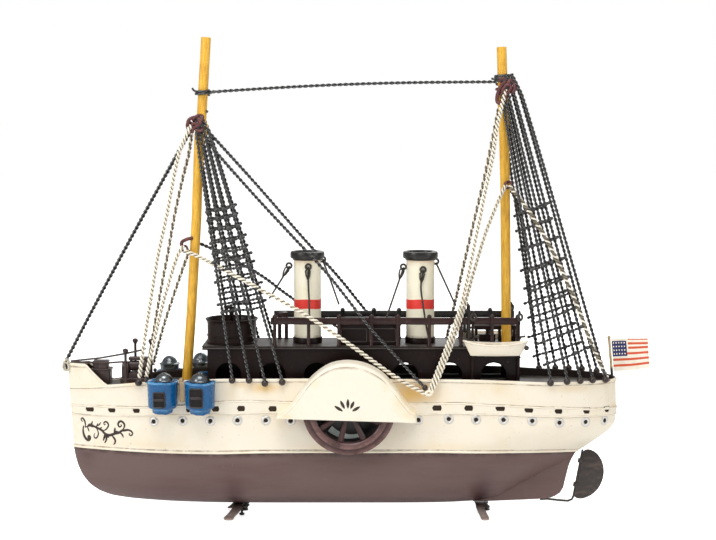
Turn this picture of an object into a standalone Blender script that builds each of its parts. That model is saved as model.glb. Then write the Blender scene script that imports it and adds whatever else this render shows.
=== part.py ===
# Tin model of a side-wheel paddle steamer that stands on two small feet.
# Frame: +X towards the stern, -Y to port, +Z up, origin on the floor under the middle of the model.
# Sizes are written in millimetres and turned into metres where a mesh is made.
import math

import bmesh
import bpy
import numpy as np
from mathutils import Matrix, Vector

MM = 0.001
GAP = 0.3            # clearance between pieces that touch

# Hull
HALF_BEAM = 33.0
SHEET = 1.2          # bulwark sheet
DECK_TOP = 97.0
DECK_THICK = 0.8
BOW_RAISE_END = -180.0
BOW_RAISE_FULL = -195.6
BOW_TOP = 111.8

# Deckhouse
HOUSE_X = (-107.0, 115.0)
HOUSE_HALF = 20.0
HOUSE_WALL = 1.2
ROOF_X = (-110.4, 117.2)
ROOF_HALF = 21.8
ROOF_TOP = 126.6
ROOF_THICK = 2.2
ARCH_X = (-92.0, -60.6, -29.2, 2.2, 33.6, 65.0, 96.4)
ARCH_HALF = 9.2
ARCH_SPRING = 105.8

# Upper works
TUB_X = -91.2
TUB_R = 18.3
TUB_TOP = 144.5
CABIN_X = (-13.7, 30.1)
CABIN_HALF = 15.0
CABIN_TOP = 144.0
RAIL_Y = 20.6
RAIL_X = (-61.8, 115.0)
RAIL_Z = (142.4, 147.0)
RAIL_POSTS = (-59.0, -35.0, -13.5, 9.5, 28.0, 50.5, 73.0, 95.0, 113.0)

# Masts, as centre lines (x, z) in the middle plane
MAST_R = 3.15
FORE_MAST = ((-124.6, DECK_TOP + GAP), (-119.2, 193.6), (-113.2, 279.0), (-111.8, 284.0), (-107.8, 345.0))
MAIN_MAST = ((107.3, ROOF_TOP + GAP), (106.0, 241.8), (103.2, 306.5), (101.5, 338.2))
WIRE_R = 0.75
BACKSTAY = ((-109.0, 1.4, 271.0), (-38.5, 16.2, 195.6), (-3.5, 24.6, 153.2), (10.6, 28.0, 135.9), (44.9, 34.9, 100.8))
FORE_DEADEYES = (-87.8, -76.1, -65.2, -53.2)
MAIN_DEADEYES = (136.0, 147.6, 157.2, 166.2, 175.6)

# Paddle wheels and boxes
WHEEL_X = -6.4
WHEEL_Z = 85.9
WHEEL_R = 31.5
WHEEL_Y = (37.0, 46.5)
AXLE_R = 2.0
SPOKES = 9
SPOKE_TURN = 14.5    # the lowest spoke leans this far towards the bow
BOX_Y = (33.5, 51.5)
BOX_SHEET = 1.2
WHEEL_ROOM = 0.7     # running gap between the wheel and its box

# Front of the paddle box from its fore tip over the top to its aft end: x, z
BOX_OUTLINE = (
    (-56.6, 80.6), (-56.2, 81.8), (-50.5, 84.9), (-44.8, 91.1), (-39.2, 99.2), (-34.4, 105.8), (-28.8, 111.1),
    (-23.1, 115.1), (-17.5, 117.6), (-11.8, 118.8), (-6.4, 119.1), (-0.6, 118.5), (6.0, 116.8), (12.5, 113.7),
    (18.2, 109.8), (22.9, 104.9), (27.6, 98.8), (32.4, 92.2), (37.1, 86.6), (40.8, 83.6), (40.8, 77.6),
)

# Turrets on the bow quarter: name, x on port, x on starboard, y
TURRETS = (("fore", -137.2, -139.5, 34.0), ("aft", -110.6, -116.0, 37.0))
TURRET_R = 10.8
TURRET_Z = (86.5, 104.3)
TURRET_BOWL_Z = 81.0
DOME_R = 7.0
DOME_TOP = 111.0

# Lifeboats and davits
BOAT_X = (73.8, 119.6)
BOAT_Y = 30.5
BOAT_HALF = 7.5
BOAT_Z = (121.6, 130.3)
DAVIT_X = (81.0, 113.6)
DAVIT_TOP = 152.5

# Stern gear
RUDDER_PIN_X = (157.4, 163.3)
RUDDER_PIN_Z = (13.5, 46.3)
WIRE_HALF = 0.8      # half thickness of the bent wire
CLIP_R = 1.9         # outside of the clips that hold the rudder on it
CLIP_PLACES = (0.26, 0.80)
CLIP_HALF = 1.5

# Rudder plate from its lower corner round the curved edge to its upper corner: x, z
RUDDER_OUTLINE = (
    (158.7, 12.6), (160.6, 11.7), (165.1, 12.0), (170.9, 14.8), (175.7, 19.8), (178.6, 26.7), (179.1, 33.7),
    (177.2, 40.6), (173.2, 45.7), (168.6, 47.9), (165.7, 47.6), (164.6, 46.2),
)
STAFF_X = (183.9, 181.4)
STAFF_TOP = 130.8
FLAG_END = 212.7
FLAG_Z = (105.0, 128.6)

# Hull lines along the length: x, waterline height, gunwale height
HULL_LINES = (
    (-212.0, 50.1, 94.6),
    (-190.0, 50.5, 96.6),
    (-174.0, 50.6, 98.4),
    (-147.0, 50.7, 101.8),
    (-123.0, 51.0, 103.4),
    (-97.0, 51.4, 105.0),
    (-70.0, 52.4, 105.3),
    (-38.0, 52.7, 105.5),
    (60.0, 52.7, 105.0),
    (84.0, 52.0, 104.6),
    (108.0, 51.2, 103.8),
    (133.0, 49.6, 102.6),
    (150.0, 48.0, 102.4),
    (160.0, 46.6, 102.2),
    (190.0, 46.0, 101.5),
)

# Plan outline at levels below the waterline:
# height, stem x, stern x, half beam, bow run, bow fullness, stern run, stern fullness
BOTTOM_LEVELS = (
    (9.4, -118.0, 70.0, 3.0, 60.0, 0.60, 50.0, 0.60),
    (10.4, -142.0, 88.0, 6.5, 75.0, 0.70, 70.0, 0.75),
    (12.2, -165.0, 98.0, 12.0, 95.0, 0.80, 85.0, 0.85),
    (14.6, -180.0, 106.0, 18.0, 110.0, 0.85, 95.0, 0.95),
    (18.0, -188.6, 112.0, 23.5, 120.0, 0.88, 100.0, 1.00),
    (23.0, -195.6, 120.0, 28.0, 125.0, 0.90, 104.0, 1.02),
    (30.0, -200.8, 131.5, 31.1, 130.0, 0.90, 106.0, 1.02),
    (38.0, -204.0, 144.8, 32.6, 135.0, 0.88, 108.0, 1.00),
    (45.0, -205.7, 154.5, 33.0, 140.0, 0.87, 104.0, 0.95),
    (52.7, -206.8, 158.7, 33.0, 145.0, 0.86, 102.0, 0.85),
)

# Flat fin under the run aft, from the keel round the sternpost and back inside the hull: x, z
FIN_OUTLINE = (
    (84.0, 9.7), (96.6, 9.9), (121.0, 11.4), (135.7, 12.4), (141.6, 13.1), (145.5, 14.2), (148.4, 16.3),
    (150.2, 20.8), (152.0, 29.7), (154.0, 38.0), (154.6, 40.4), (140.0, 40.0), (110.0, 26.0), (84.0, 15.0),
)
FIN_HALF = 0.8

# Plan outline at levels above it: share of the height from waterline to gunwale, then as above
TOPSIDE_LEVELS = (
    (0.00, -206.8, 158.7, 33.0, 145.0, 0.86, 102.0, 0.85),
    (0.08, -207.0, 166.6, 33.0, 146.0, 0.86, 98.0, 0.75),
    (0.20, -207.3, 175.6, 33.0, 148.0, 0.86, 90.0, 0.62),
    (0.32, -207.6, 183.4, 33.0, 150.0, 0.85, 84.0, 0.54),
    (0.42, -207.8, 186.8, 33.0, 152.0, 0.85, 80.0, 0.50),
    (0.60, -208.2, 187.2, 33.0, 154.0, 0.85, 78.0, 0.48),
    (0.98, -209.4, 186.6, 33.0, 155.0, 0.85, 77.0, 0.47),
)

HALF_STATIONS = 24


def clear_scene():
    """Remove every object, so that the script can be run again."""
    for obj in list(bpy.data.objects):
        bpy.data.objects.remove(obj, do_unlink=True)


def material(name, colour, rough, metal=0.0):
    """A plain finish with the colour given as sRGB bytes in hex."""
    linear = []
    for shift in (0, 2, 4):
        c = int(colour[shift:shift + 2], 16) / 255.0
        linear.append(c / 12.92 if c <= 0.04045 else ((c + 0.055) / 1.055) ** 2.4)
    mat = bpy.data.materials.new(name)
    mat.use_nodes = True
    shader = mat.node_tree.nodes["Principled BSDF"]
    shader.inputs["Base Color"].default_value = (*linear, 1.0)
    shader.inputs["Roughness"].default_value = rough
    shader.inputs["Metallic"].default_value = metal
    return mat


def solid(name, verts, faces, mat, smooth_deg=40.0):
    """Make an object from points in millimetres, with its faces turned outwards."""
    mesh = bpy.data.meshes.new(name)
    bm = bmesh.new()
    points = [bm.verts.new((x * MM, y * MM, z * MM)) for x, y, z in verts]
    for face in faces:
        bm.faces.new([points[i] for i in face])
    bmesh.ops.recalc_face_normals(bm, faces=bm.faces)
    if bm.calc_volume(signed=True) < 0.0:
        bmesh.ops.reverse_faces(bm, faces=bm.faces)
    bm.to_mesh(mesh)
    bm.free()
    mesh.shade_smooth()
    mesh.set_sharp_from_angle(angle=math.radians(smooth_deg))
    obj = bpy.data.objects.new(name, mesh)
    bpy.context.collection.objects.link(obj)
    mesh.materials.append(mat)
    return obj


def stack(loops, across=False):
    """Points and faces of a solid from equal closed loops, capped at both ends.

    With across, each cap is a row of faces that join a point to its mirror point on the other side.
    """
    count = len(loops[0])
    verts = [p for loop in loops for p in loop]
    faces = []
    for k in range(len(loops) - 1):
        for i in range(count):
            j = (i + 1) % count
            faces.append((k * count + i, k * count + j, (k + 1) * count + j, (k + 1) * count + i))
    for base in (0, (len(loops) - 1) * count):
        if across:
            for i in range(count // 2 - 1):
                mirror = count - 1 - i
                faces.append((base + i, base + i + 1, base + mirror - 1, base + mirror))
        else:
            faces.append(tuple(base + i for i in range(count)))
    return verts, faces


def lathe(cx, cy, profile, segments=20, axis="z", arc_start=0.0):
    """Turned solid: profile of (radius, height) pairs that starts and ends off the axis."""
    loops = []
    for radius, height in profile:
        loop = []
        for i in range(segments):
            a = arc_start + 2.0 * math.pi * i / segments
            c, s = radius * math.cos(a), radius * math.sin(a)
            loop.append((cx + c, cy + s, height) if axis == "z" else (cx + c, height, cy + s))
        loops.append(loop)
    return stack(loops)


def ring(cx, cy, profile, segments=20, axis="z"):
    """Turned ring: a closed profile of (radius, height) pairs swept round the axis."""
    verts, faces = [], []
    count = len(profile)
    for i in range(segments):
        a = 2.0 * math.pi * i / segments
        for radius, height in profile:
            c, s = radius * math.cos(a), radius * math.sin(a)
            verts.append((cx + c, cy + s, height) if axis == "z" else (cx + c, height, cy + s))
    for i in range(segments):
        n = (i + 1) % segments
        for k in range(count):
            m = (k + 1) % count
            faces.append((i * count + k, i * count + m, n * count + m, n * count + k))
    return verts, faces


def brick(x, y, z):
    """Box between two values on each axis."""
    verts = [(x[i], y[j], z[k]) for k in (0, 1) for j, i in ((0, 0), (0, 1), (1, 1), (1, 0))]
    faces = [(0, 1, 2, 3), (4, 5, 6, 7), (0, 1, 5, 4), (1, 2, 6, 5), (2, 3, 7, 6), (3, 0, 4, 7)]
    return verts, faces


def rod(path, radius, sides=6, closed=False):
    """Round rod along a path of points, with flat ends."""
    pts = [Vector(p) for p in path]
    loops = []
    up = Vector((0.0, 0.0, 1.0))
    if abs((pts[1] - pts[0]).normalized().z) > 0.9:
        up = Vector((1.0, 0.0, 0.0))
    for k, p in enumerate(pts):
        if closed:
            along = (pts[(k + 1) % len(pts)] - pts[k - 1]).normalized()
        else:
            along = (pts[min(k + 1, len(pts) - 1)] - pts[max(k - 1, 0)]).normalized()
        side = along.cross(up).normalized()
        top = side.cross(along)
        up = top
        size = radius[k] if isinstance(radius, (list, tuple)) else radius
        loops.append([
            tuple(p + side * (size * math.cos(a)) + top * (size * math.sin(a)))
            for a in (2.0 * math.pi * (i + 0.5) / sides for i in range(sides))
        ])
    if not closed:
        return stack(loops)
    verts = [v for loop in loops for v in loop]
    faces = []
    for k in range(len(loops)):
        n = (k + 1) % len(loops)
        for i in range(sides):
            j = (i + 1) % sides
            faces.append((k * sides + i, k * sides + j, n * sides + j, n * sides + i))
    return verts, faces


def panel(outline, depth, axis="y"):
    """Flat plate: an outline of (u, z) pairs given a thickness along y or x."""
    loops = []
    for d in depth:
        loops.append([(u, d, z) if axis == "y" else (d, u, z) for u, z in outline])
    return stack(loops)


def combine(base, others, operation):
    """Apply exact booleans of the others to the base, and remove the others."""
    for other in others:
        mod = base.modifiers.new("cut", "BOOLEAN")
        mod.operation = operation
        mod.object = other
        mod.solver = "EXACT"
    depsgraph = bpy.context.evaluated_depsgraph_get()
    mesh = bpy.data.meshes.new_from_object(base.evaluated_get(depsgraph))
    base.modifiers.clear()
    base.data = mesh
    for other in others:
        bpy.data.objects.remove(other, do_unlink=True)
    return base


def build(name, mat, shapes, cutters=()):
    """Union of several shapes, less the cutters, as one named object."""
    objects = [solid(name if i == 0 else name + "_add", *shape, mat) for i, shape in enumerate(shapes)]
    if len(objects) > 1:
        combine(objects[0], objects[1:], "UNION")
    if cutters:
        combine(objects[0], [solid(name + "_cut", *shape, mat) for shape in cutters], "DIFFERENCE")
    return objects[0]


def mirrored(shape, side):
    """The same shape on port (side -1) or starboard (side +1), drawn at positive y."""
    verts, faces = shape
    return [(x, side * y, z) for x, y, z in verts], faces


def hull_line(x, column):
    """Height of the waterline (1) or gunwale (2) at a place along the length."""
    xs = [row[0] for row in HULL_LINES]
    return float(np.interp(x, xs, [row[column] for row in HULL_LINES]))


def outline(row, grow=0.0):
    """Closed plan loop of a level: each end is a power curve that meets the parallel middle."""
    _, stem, stern, beam, bow_run, bow_full, stern_run, stern_full = row
    stem, stern, beam = stem - grow, stern + grow, beam + grow
    stations = []
    for i in range(HALF_STATIONS + 1):
        s = i / HALF_STATIONS
        stations.append(stem + (stern - stem) * (s - 0.13 * math.sin(2.0 * math.pi * s)))
    half = []
    for x in stations:
        t = min(max((x - stem) / bow_run, 0.0), 1.0)
        u = min(max((stern - x) / stern_run, 0.0), 1.0)
        y = beam * (1.0 - (1.0 - t) ** 2) ** bow_full * (1.0 - (1.0 - u) ** 2) ** stern_full
        half.append((x, y))
    edge = 0.35 + grow
    half = [(x, max(y, edge)) for x, y in half]
    return [(x, -y) for x, y in half] + [(x, y) for x, y in reversed(half)]


def bow_rise(x):
    """Height that the raised bulwark adds at the bow."""
    full = BOW_TOP - hull_line(x, 2)
    share = (BOW_RAISE_END - x) / (BOW_RAISE_END - BOW_RAISE_FULL)
    return max(full, 0.0) * min(max(share, 0.0), 1.0)


def topside_loop(row, grow=0.0, lift=0.0):
    """Plan loop of a topside level, raised to its share of the height."""
    loop = []
    for x, y in outline(row, grow):
        low, high = hull_line(x, 1), hull_line(x, 2)
        loop.append((x, y, low + row[0] * (high - low) + lift))
    return loop


def hull_bottom(mat):
    """Solid hull below the waterline, as a stack of plan outlines, with the flat fin aft."""
    loops = []
    low, high = BOTTOM_LEVELS[0][0], BOTTOM_LEVELS[-1][0]
    for row in BOTTOM_LEVELS:
        share = ((row[0] - low) / (high - low)) ** 2
        loops.append([
            (x, y, row[0] + (hull_line(x, 1) - high) * share - GAP / 2.0) for x, y in outline(row)
        ])
    fin = panel(FIN_OUTLINE, (-FIN_HALF, FIN_HALF))
    return build("hull_bottom", mat, [stack(loops, across=True), fin])


def topside_shape(grow=0.0):
    """Outer loops of the topside up to the rim, with the bulwark raised at the bow."""
    loops = [topside_loop(row, grow, GAP / 2.0) for row in TOPSIDE_LEVELS]
    rim = list(TOPSIDE_LEVELS[-1])
    rim[1] -= 0.6
    loops.append([(x, y, hull_line(x, 2) + bow_rise(x)) for x, y in outline(rim, grow)])
    return loops


def inner_row():
    """Plan of the space inside the bulwark."""
    rim = list(TOPSIDE_LEVELS[-1])
    rim[1] += 4.2
    rim[2] -= SHEET
    rim[3] -= SHEET
    rim[4] -= 3.6
    return rim


def hull_topside(mat):
    """Solid cream hull with a thin bulwark that stands round the deck."""
    loops = topside_shape()
    inner = outline(inner_row())
    loops.append([(x, y, hull_line(x, 2) + bow_rise(x)) for x, y in inner])
    loops.append([(x, y, DECK_TOP - DECK_THICK - GAP) for x, y in inner])
    return solid("hull_topside", *stack(loops, across=True), mat)


def deck(mat):
    """Flat deck plate that drops inside the bulwark."""
    row = inner_row()
    row[1] += 1.2
    row[2] -= GAP
    row[3] -= GAP
    plan = outline(row)
    loops = [[(x, y, z) for x, y in plan] for z in (DECK_TOP - DECK_THICK, DECK_TOP)]
    return solid("deck", *stack(loops, across=True), mat)


def arch(cx, half, low, spring, segments=8):
    """Outline of a round-headed opening in the x-z plane."""
    points = [(cx - half, low), (cx + half, low)]
    for i in range(segments + 1):
        a = math.pi * i / segments
        points.append((cx + half * math.cos(a), spring + half * math.sin(a)))
    return points


def deckhouse(mat):
    """Four thin walls, the long ones pierced by arches, under a flat roof."""
    low, high = DECK_TOP + GAP, ROOF_TOP - ROOF_THICK - GAP
    sill = low + 3.0
    for side, name in ((-1, "port"), (1, "starboard")):
        depth = (HOUSE_HALF - HOUSE_WALL, HOUSE_HALF)
        wall = mirrored(brick(HOUSE_X, depth, (low, high)), side)
        cuts = [
            mirrored(panel(arch(x, ARCH_HALF, sill, ARCH_SPRING), (HOUSE_HALF - 3.0, HOUSE_HALF + 2.0)), side)
            for x in ARCH_X
        ]
        build("deckhouse_side_" + name, mat, [wall], cuts)
    across = (-(HOUSE_HALF - HOUSE_WALL - GAP), HOUSE_HALF - HOUSE_WALL - GAP)
    build("deckhouse_front", mat, [brick((HOUSE_X[0], HOUSE_X[0] + HOUSE_WALL), across, (low, high))])
    build("deckhouse_back", mat, [brick((HOUSE_X[1] - HOUSE_WALL, HOUSE_X[1]), across, (low, high))])
    build("deckhouse_roof", mat, [brick(ROOF_X, (-ROOF_HALF, ROOF_HALF), (ROOF_TOP - ROOF_THICK, ROOF_TOP))])


def wheelhouse(mat):
    """Open round tub with a rolled rim and a band, and the steering pedestal inside it."""
    low = ROOF_TOP + GAP
    r = TUB_R - 0.8
    profile = [
        (r, low), (r, TUB_TOP - 3.0), (TUB_R + 0.4, TUB_TOP - 0.8), (TUB_R + 0.2, TUB_TOP),
        (r - 0.4, TUB_TOP - 0.4), (r - 1.0, TUB_TOP - 3.0), (r - 1.0, low + 1.0),
    ]
    solid("wheelhouse_tub", *lathe(TUB_X, 0.0, profile, 32), mat)
    post = lathe(TUB_X, 0.0, [(2.6, low + 1.3), (2.6, low + 2.2), (1.3, low + 3.2), (1.3, 151.0), (1.9, 152.8)], 10)
    wheel = ring(TUB_X, 146.0, [(5.6, -1.0), (7.0, -1.0), (7.0, -2.4), (5.6, -2.4)], 20, "y")
    spoke = brick((TUB_X - 6.2, TUB_X + 6.2), (-2.2, -1.0), (145.3, 146.7))
    build("helm", mat, [post, wheel, spoke])


def cabin(mat):
    """Low box between the funnels with a bevelled lid."""
    low = ROOF_TOP + GAP
    body = brick(CABIN_X, (-CABIN_HALF, CABIN_HALF), (low, CABIN_TOP - 2.2))
    x0, x1 = CABIN_X[0] - 0.8, CABIN_X[1] + 0.8
    lid = stack([
        [(x0 + e, -CABIN_HALF - 0.8 + e, z), (x1 - e, -CABIN_HALF - 0.8 + e, z),
         (x1 - e, CABIN_HALF + 0.8 - e, z), (x0 + e, CABIN_HALF + 0.8 - e, z)]
        for e, z in ((0.0, CABIN_TOP - 3.2), (0.0, CABIN_TOP - 1.6), (1.8, CABIN_TOP))
    ])
    build("cabin", mat, [body, lid])


def funnels(cream, dark):
    """Two open tubes with a spreading cap ring and a base ring."""
    low = ROOF_TOP + GAP
    for name, x, r in (("funnel_fore", -36.4, 9.75), ("funnel_aft", 44.9, 10.1)):
        profile = [
            (r + 0.6, low), (r + 0.6, low + 3.6), (r, low + 3.8), (r, 192.0), (r - 1.0, 192.0), (r - 1.0, 172.0),
        ]
        solid(name, *lathe(x, 0.0, profile, 24), cream)
        cap = [
            (r + GAP, 185.6), (r + 1.0, 185.2), (r + 2.4, 189.4), (r + 2.4, 192.4), (r + 1.6, 193.2), (r + GAP, 193.0),
        ]
        solid(name.replace("funnel", "funnel_cap"), *ring(x, 0.0, cap, 24), dark)


def rails(mat):
    """Flat strip on round posts with ball tops, one rail on each side of the roof."""
    for side, name in ((-1, "port"), (1, "starboard")):
        shapes = [mirrored(brick(RAIL_X, (RAIL_Y - 0.5, RAIL_Y + 0.5), RAIL_Z), side)]
        for x in RAIL_POSTS:
            profile = [(0.9, ROOF_TOP + GAP), (0.9, 146.6), (1.5, 147.6), (0.7, 149.2)]
            shapes.append(mirrored(lathe(x, RAIL_Y, profile, 6), side))
        build("rail_" + name, mat, shapes)


def masts(mat):
    """Round wooden masts; the fore mast steps aft a little where its top part begins."""
    for name, line in (("fore_mast", FORE_MAST), ("main_mast", MAIN_MAST)):
        radii = [MAST_R] * (len(line) - 1) + [MAST_R - 0.3]
        solid(name, *rod([(x, 0.0, z) for x, z in line], radii, 14), mat)


def net(name, mat, head, head_step, feet, levels, strip=1.1, thick=1.2):
    """Shrouds that fan out from the mast head, tied across by ratlines, as one thin pierced sheet.

    head is the upper end of the first shroud, and the next ones start head_step further on.
    levels are shares of the way down at which a ratline crosses.
    """
    count = len(feet)
    cuts = [0.0, 0.03]
    for level in levels:
        cuts += [level, level + 0.006]
    cuts.append(1.0)
    rows = []
    for i, foot in enumerate(feet):
        top = Vector(head) + Vector(head_step) * i
        end = Vector(foot)
        edges = []
        for s in cuts:
            p = top.lerp(end, s)
            edges.append((p - Vector((strip / 2.0, 0.0, 0.0)), p + Vector((strip / 2.0, 0.0, 0.0))))
        rows.append(edges)
    verts, faces = [], []
    for layer in (-thick / 2.0, thick / 2.0):
        for edges in rows:
            for left, right in edges:
                verts += [(left.x, left.y + layer, left.z), (right.x, right.y + layer, right.z)]
    per_row = len(cuts) * 2
    per_layer = per_row * count
    cells = []
    for i in range(count):
        for k in range(len(cuts) - 1):
            a = i * per_row + 2 * k
            cells.append((a, a + 1, a + 3, a + 2))
            if i < count - 1 and k % 2 == 0 and k < len(cuts) - 2:
                cells.append((a + 1, a + per_row, a + per_row + 2, a + 3))
    used = {}
    for cell in cells:
        faces.append(cell)
        faces.append(tuple(v + per_layer for v in reversed(cell)))
        for n in range(4):
            edge = (cell[n], cell[(n + 1) % 4])
            used[edge] = used.get(edge, 0) + 1
    for a, b in used:
        if (b, a) not in used:
            faces.append((b, a, a + per_layer, b + per_layer))
    return solid(name, verts, faces, mat, 20.0)


def beside_hull(x, z, out=1.7):
    """Place just outside the gunwale at a station, drawn on starboard."""
    rim = [p for p in outline(TOPSIDE_LEVELS[-1]) if p[1] > 0.0][::-1]
    xs, ys = [p[0] for p in rim], [p[1] for p in rim]
    slope = (np.interp(x + 1.0, xs, ys) - np.interp(x - 1.0, xs, ys)) / 2.0
    size = math.hypot(1.0, slope)
    return x - out * slope / size, float(np.interp(x, xs, ys)) + out / size, z


def shrouds(mat):
    """Two fans of shrouds on each side, from the mast heads to the gunwale."""
    fore_feet = [beside_hull(x, 103.0) for x in FORE_DEADEYES]
    main_feet = [beside_hull(x, 101.0) for x in MAIN_DEADEYES]
    fore_levels = [0.42 + 0.043 * k for k in range(14)]
    main_levels = [0.46 + 0.062 * k for k in range(9)]
    for side, name in ((-1, "port"), (1, "starboard")):
        for tag, head, step, feet, levels in (
            ("fore", (-108.2, 3.6, 279.0), (1.8, 0.0, 0.0), fore_feet, fore_levels),
            ("main", (108.6, 3.6, 304.0), (1.7, 0.0, -0.4), main_feet, main_levels),
        ):
            net(
                "shrouds_" + tag + "_" + name, mat,
                (head[0], side * head[1], head[2]), step,
                [(x, side * y, z) for x, y, z in feet], levels,
            )


def stays(mat):
    """Main stays as thin rods from the mast heads to where they are made fast."""
    fore_head = (-117.6, 0.0, 275.0)
    solid("forestay", *rod([(-211.2, 0.0, 114.0), fore_head], WIRE_R), mat)
    bow = 3.4
    span = [(-106.6 + 205.3 * s, 0.0, 305.8 + 10.2 * s + bow * math.sin(math.pi * s)) for s in np.linspace(0, 1, 9)]
    solid("mast_stay", *rod(span, WIRE_R), mat)
    for side, name in ((-1, "port"), (1, "starboard")):
        path = [(x, side * y, z) for x, y, z in BACKSTAY]
        solid("backstay_" + name, *rod(path, WIRE_R), mat)
        low = [(-115.6, side * 3.9, 190.0), (-59.0, side * 19.4, 158.0), (31.0, side * 34.7, 106.2),
               (52.8, side * 34.9, 92.0)]
        solid("mid_stay_" + name, *rod(low, WIRE_R), mat)


def lifeboats(mat):
    """Open double-ended boats, each a hollow shell."""
    length = BOAT_X[1] - BOAT_X[0]
    for side, name in ((-1, "port"), (1, "starboard")):
        loops = []
        for share, keep, inside in (
            (0.0, 0.45, 0.0), (0.25, 0.72, 0.0), (0.6, 0.92, 0.0), (1.0, 1.0, 0.0),
            (1.0, 1.0, 1.0), (0.6, 0.92, 1.0), (0.22, 0.72, 1.0),
        ):
            loop = []
            for i in range(11):
                s = i / 10.0
                half = max((BOAT_HALF * keep) * math.sin(math.pi * s) ** 0.7 - inside, 0.25)
                x = BOAT_X[0] + length * (0.5 + (s - 0.5) * (0.80 + 0.20 * share) * (1.0 - 0.05 * inside))
                z = BOAT_Z[0] + (BOAT_Z[1] - BOAT_Z[0]) * share
                z += 1.6 * share * (2.0 * s - 1.0) ** 2
                loop.append((x, half, z))
            loop = [(x, BOAT_Y - h, z) for x, h, z in loop] + [(x, BOAT_Y + h, z) for x, h, z in reversed(loop)]
            loops.append(loop)
        solid("lifeboat_" + name, *mirrored(stack(loops), side), mat)


def davits(mat):
    """Round posts that rise from the deck beside the house, with an arm under each boat and a hooked top."""
    for side, name in ((-1, "port"), (1, "starboard")):
        for place, x in zip(("fore", "aft"), DAVIT_X):
            y = HOUSE_HALF + 3.4
            path = [(x, y, DECK_TOP + GAP), (x, y, DAVIT_TOP - 4.0), (x, y + 1.4, DAVIT_TOP - 1.2),
                    (x, y + 4.0, DAVIT_TOP), (x, y + 6.6, DAVIT_TOP - 1.6)]
            seat = BOAT_Z[0] - GAP - 0.8
            arm = [(x, y - 0.4, seat), (x, BOAT_Y + 1.2, seat)]
            shapes = [mirrored(rod(line, 0.8, 8), side) for line in (path, arm)]
            build("davit_" + name + "_" + place, mat, shapes)


def turrets(blue, steel):
    """Round gun turrets with a bowl underneath and a domed cover, cut to the ship's side."""
    side_cut = topside_shape(GAP)
    side_cut.append([(x, y, DOME_TOP + 10.0) for x, y, _ in side_cut[-1]])
    hull = stack(side_cut, across=True)
    for side, name in ((-1, "port"), (1, "starboard")):
        for place, x_port, x_starboard, y in TURRETS:
            x = x_port if side < 0 else x_starboard
            r = TURRET_R
            profile = [
                (3.0, TURRET_BOWL_Z), (r - 3.0, TURRET_BOWL_Z + 1.6), (r - 0.8, TURRET_Z[0]), (r, TURRET_Z[0] + 0.6),
                (r, TURRET_Z[1]), (DOME_R + 0.6, TURRET_Z[1] + 0.6),
            ]
            build("turret_" + name + "_" + place, blue, [mirrored(lathe(x, y, profile, 24), side)], [hull])
            dome = [
                (DOME_R, TURRET_Z[1] + 0.6 + GAP), (DOME_R, TURRET_Z[1] + 2.4), (DOME_R - 1.2, TURRET_Z[1] + 4.4),
                (DOME_R - 3.6, DOME_TOP - 0.4), (1.0, DOME_TOP),
            ]
            solid("turret_dome_" + name + "_" + place, *mirrored(lathe(x, y, dome, 20), side), steel)


def foredeck(dark, wire):
    """Stepped hatch box, windlass with its posts, and the wire ring at the stem head."""
    low = DECK_TOP + GAP
    build("hatch_box", dark, [
        brick((-192.6, -178.8), (-5.2, 5.2), (low, 107.6)),
        brick((-192.0, -180.4), (-4.6, 4.6), (107.0, 113.6)),
    ])
    block = brick((-171.0, -157.0), (-9.0, 9.0), (low, 101.6))
    drum = lathe(-164.5, 106.2, [(3.0, -7.6), (3.0, 7.6)], 12, "y")
    cheek = brick((-166.0, -163.0), (-8.4, -6.8), (101.0, 113.0))
    cheek_far = brick((-166.0, -163.0), (6.8, 8.4), (101.0, 113.0))
    post = lathe(-166.4, -12.0, [(0.9, low), (0.9, 120.6), (1.6, 121.6), (1.6, 122.8), (0.8, 123.8)], 8)
    foot = brick((-168.0, -164.8), (-13.2, -8.6), (low, 99.4))
    post_far = lathe(-163.0, 12.0, [(0.9, low), (0.9, 124.6), (1.6, 125.6), (1.6, 126.8), (0.8, 127.8)], 8)
    foot_far = brick((-164.8, -161.4), (8.6, 13.2), (low, 99.4))
    build("windlass", dark, [block, drum, cheek, cheek_far, post, foot, post_far, foot_far])
    loop = []
    for i in range(12):
        a = 2.0 * math.pi * i / 12
        loop.append((-211.6 + 0.7 * math.cos(a), 0.0, 109.4 + 3.0 * math.sin(a)))
    solid("bow_ring", *rod(loop, 0.5, 6, closed=True), wire)


def flag(dark, cloth):
    """Flagstaff on the stern and a tin flag beside it."""
    solid("flagstaff", *rod([(STAFF_X[0], 0.0, DECK_TOP + GAP), (STAFF_X[1], 0.0, STAFF_TOP)], 1.0, 8), dark)
    low, high = FLAG_Z
    lean = (STAFF_X[1] - STAFF_X[0]) / (STAFF_TOP - DECK_TOP)
    near = [STAFF_X[0] + lean * (z - DECK_TOP) + 1.0 + GAP for z in FLAG_Z]
    corners = [(near[0], low), (FLAG_END, low + 1.2), (FLAG_END - 1.4, high), (near[1], high - 0.6)]
    solid("flag", *panel(corners, (-0.35, 0.35)), cloth)


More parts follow.
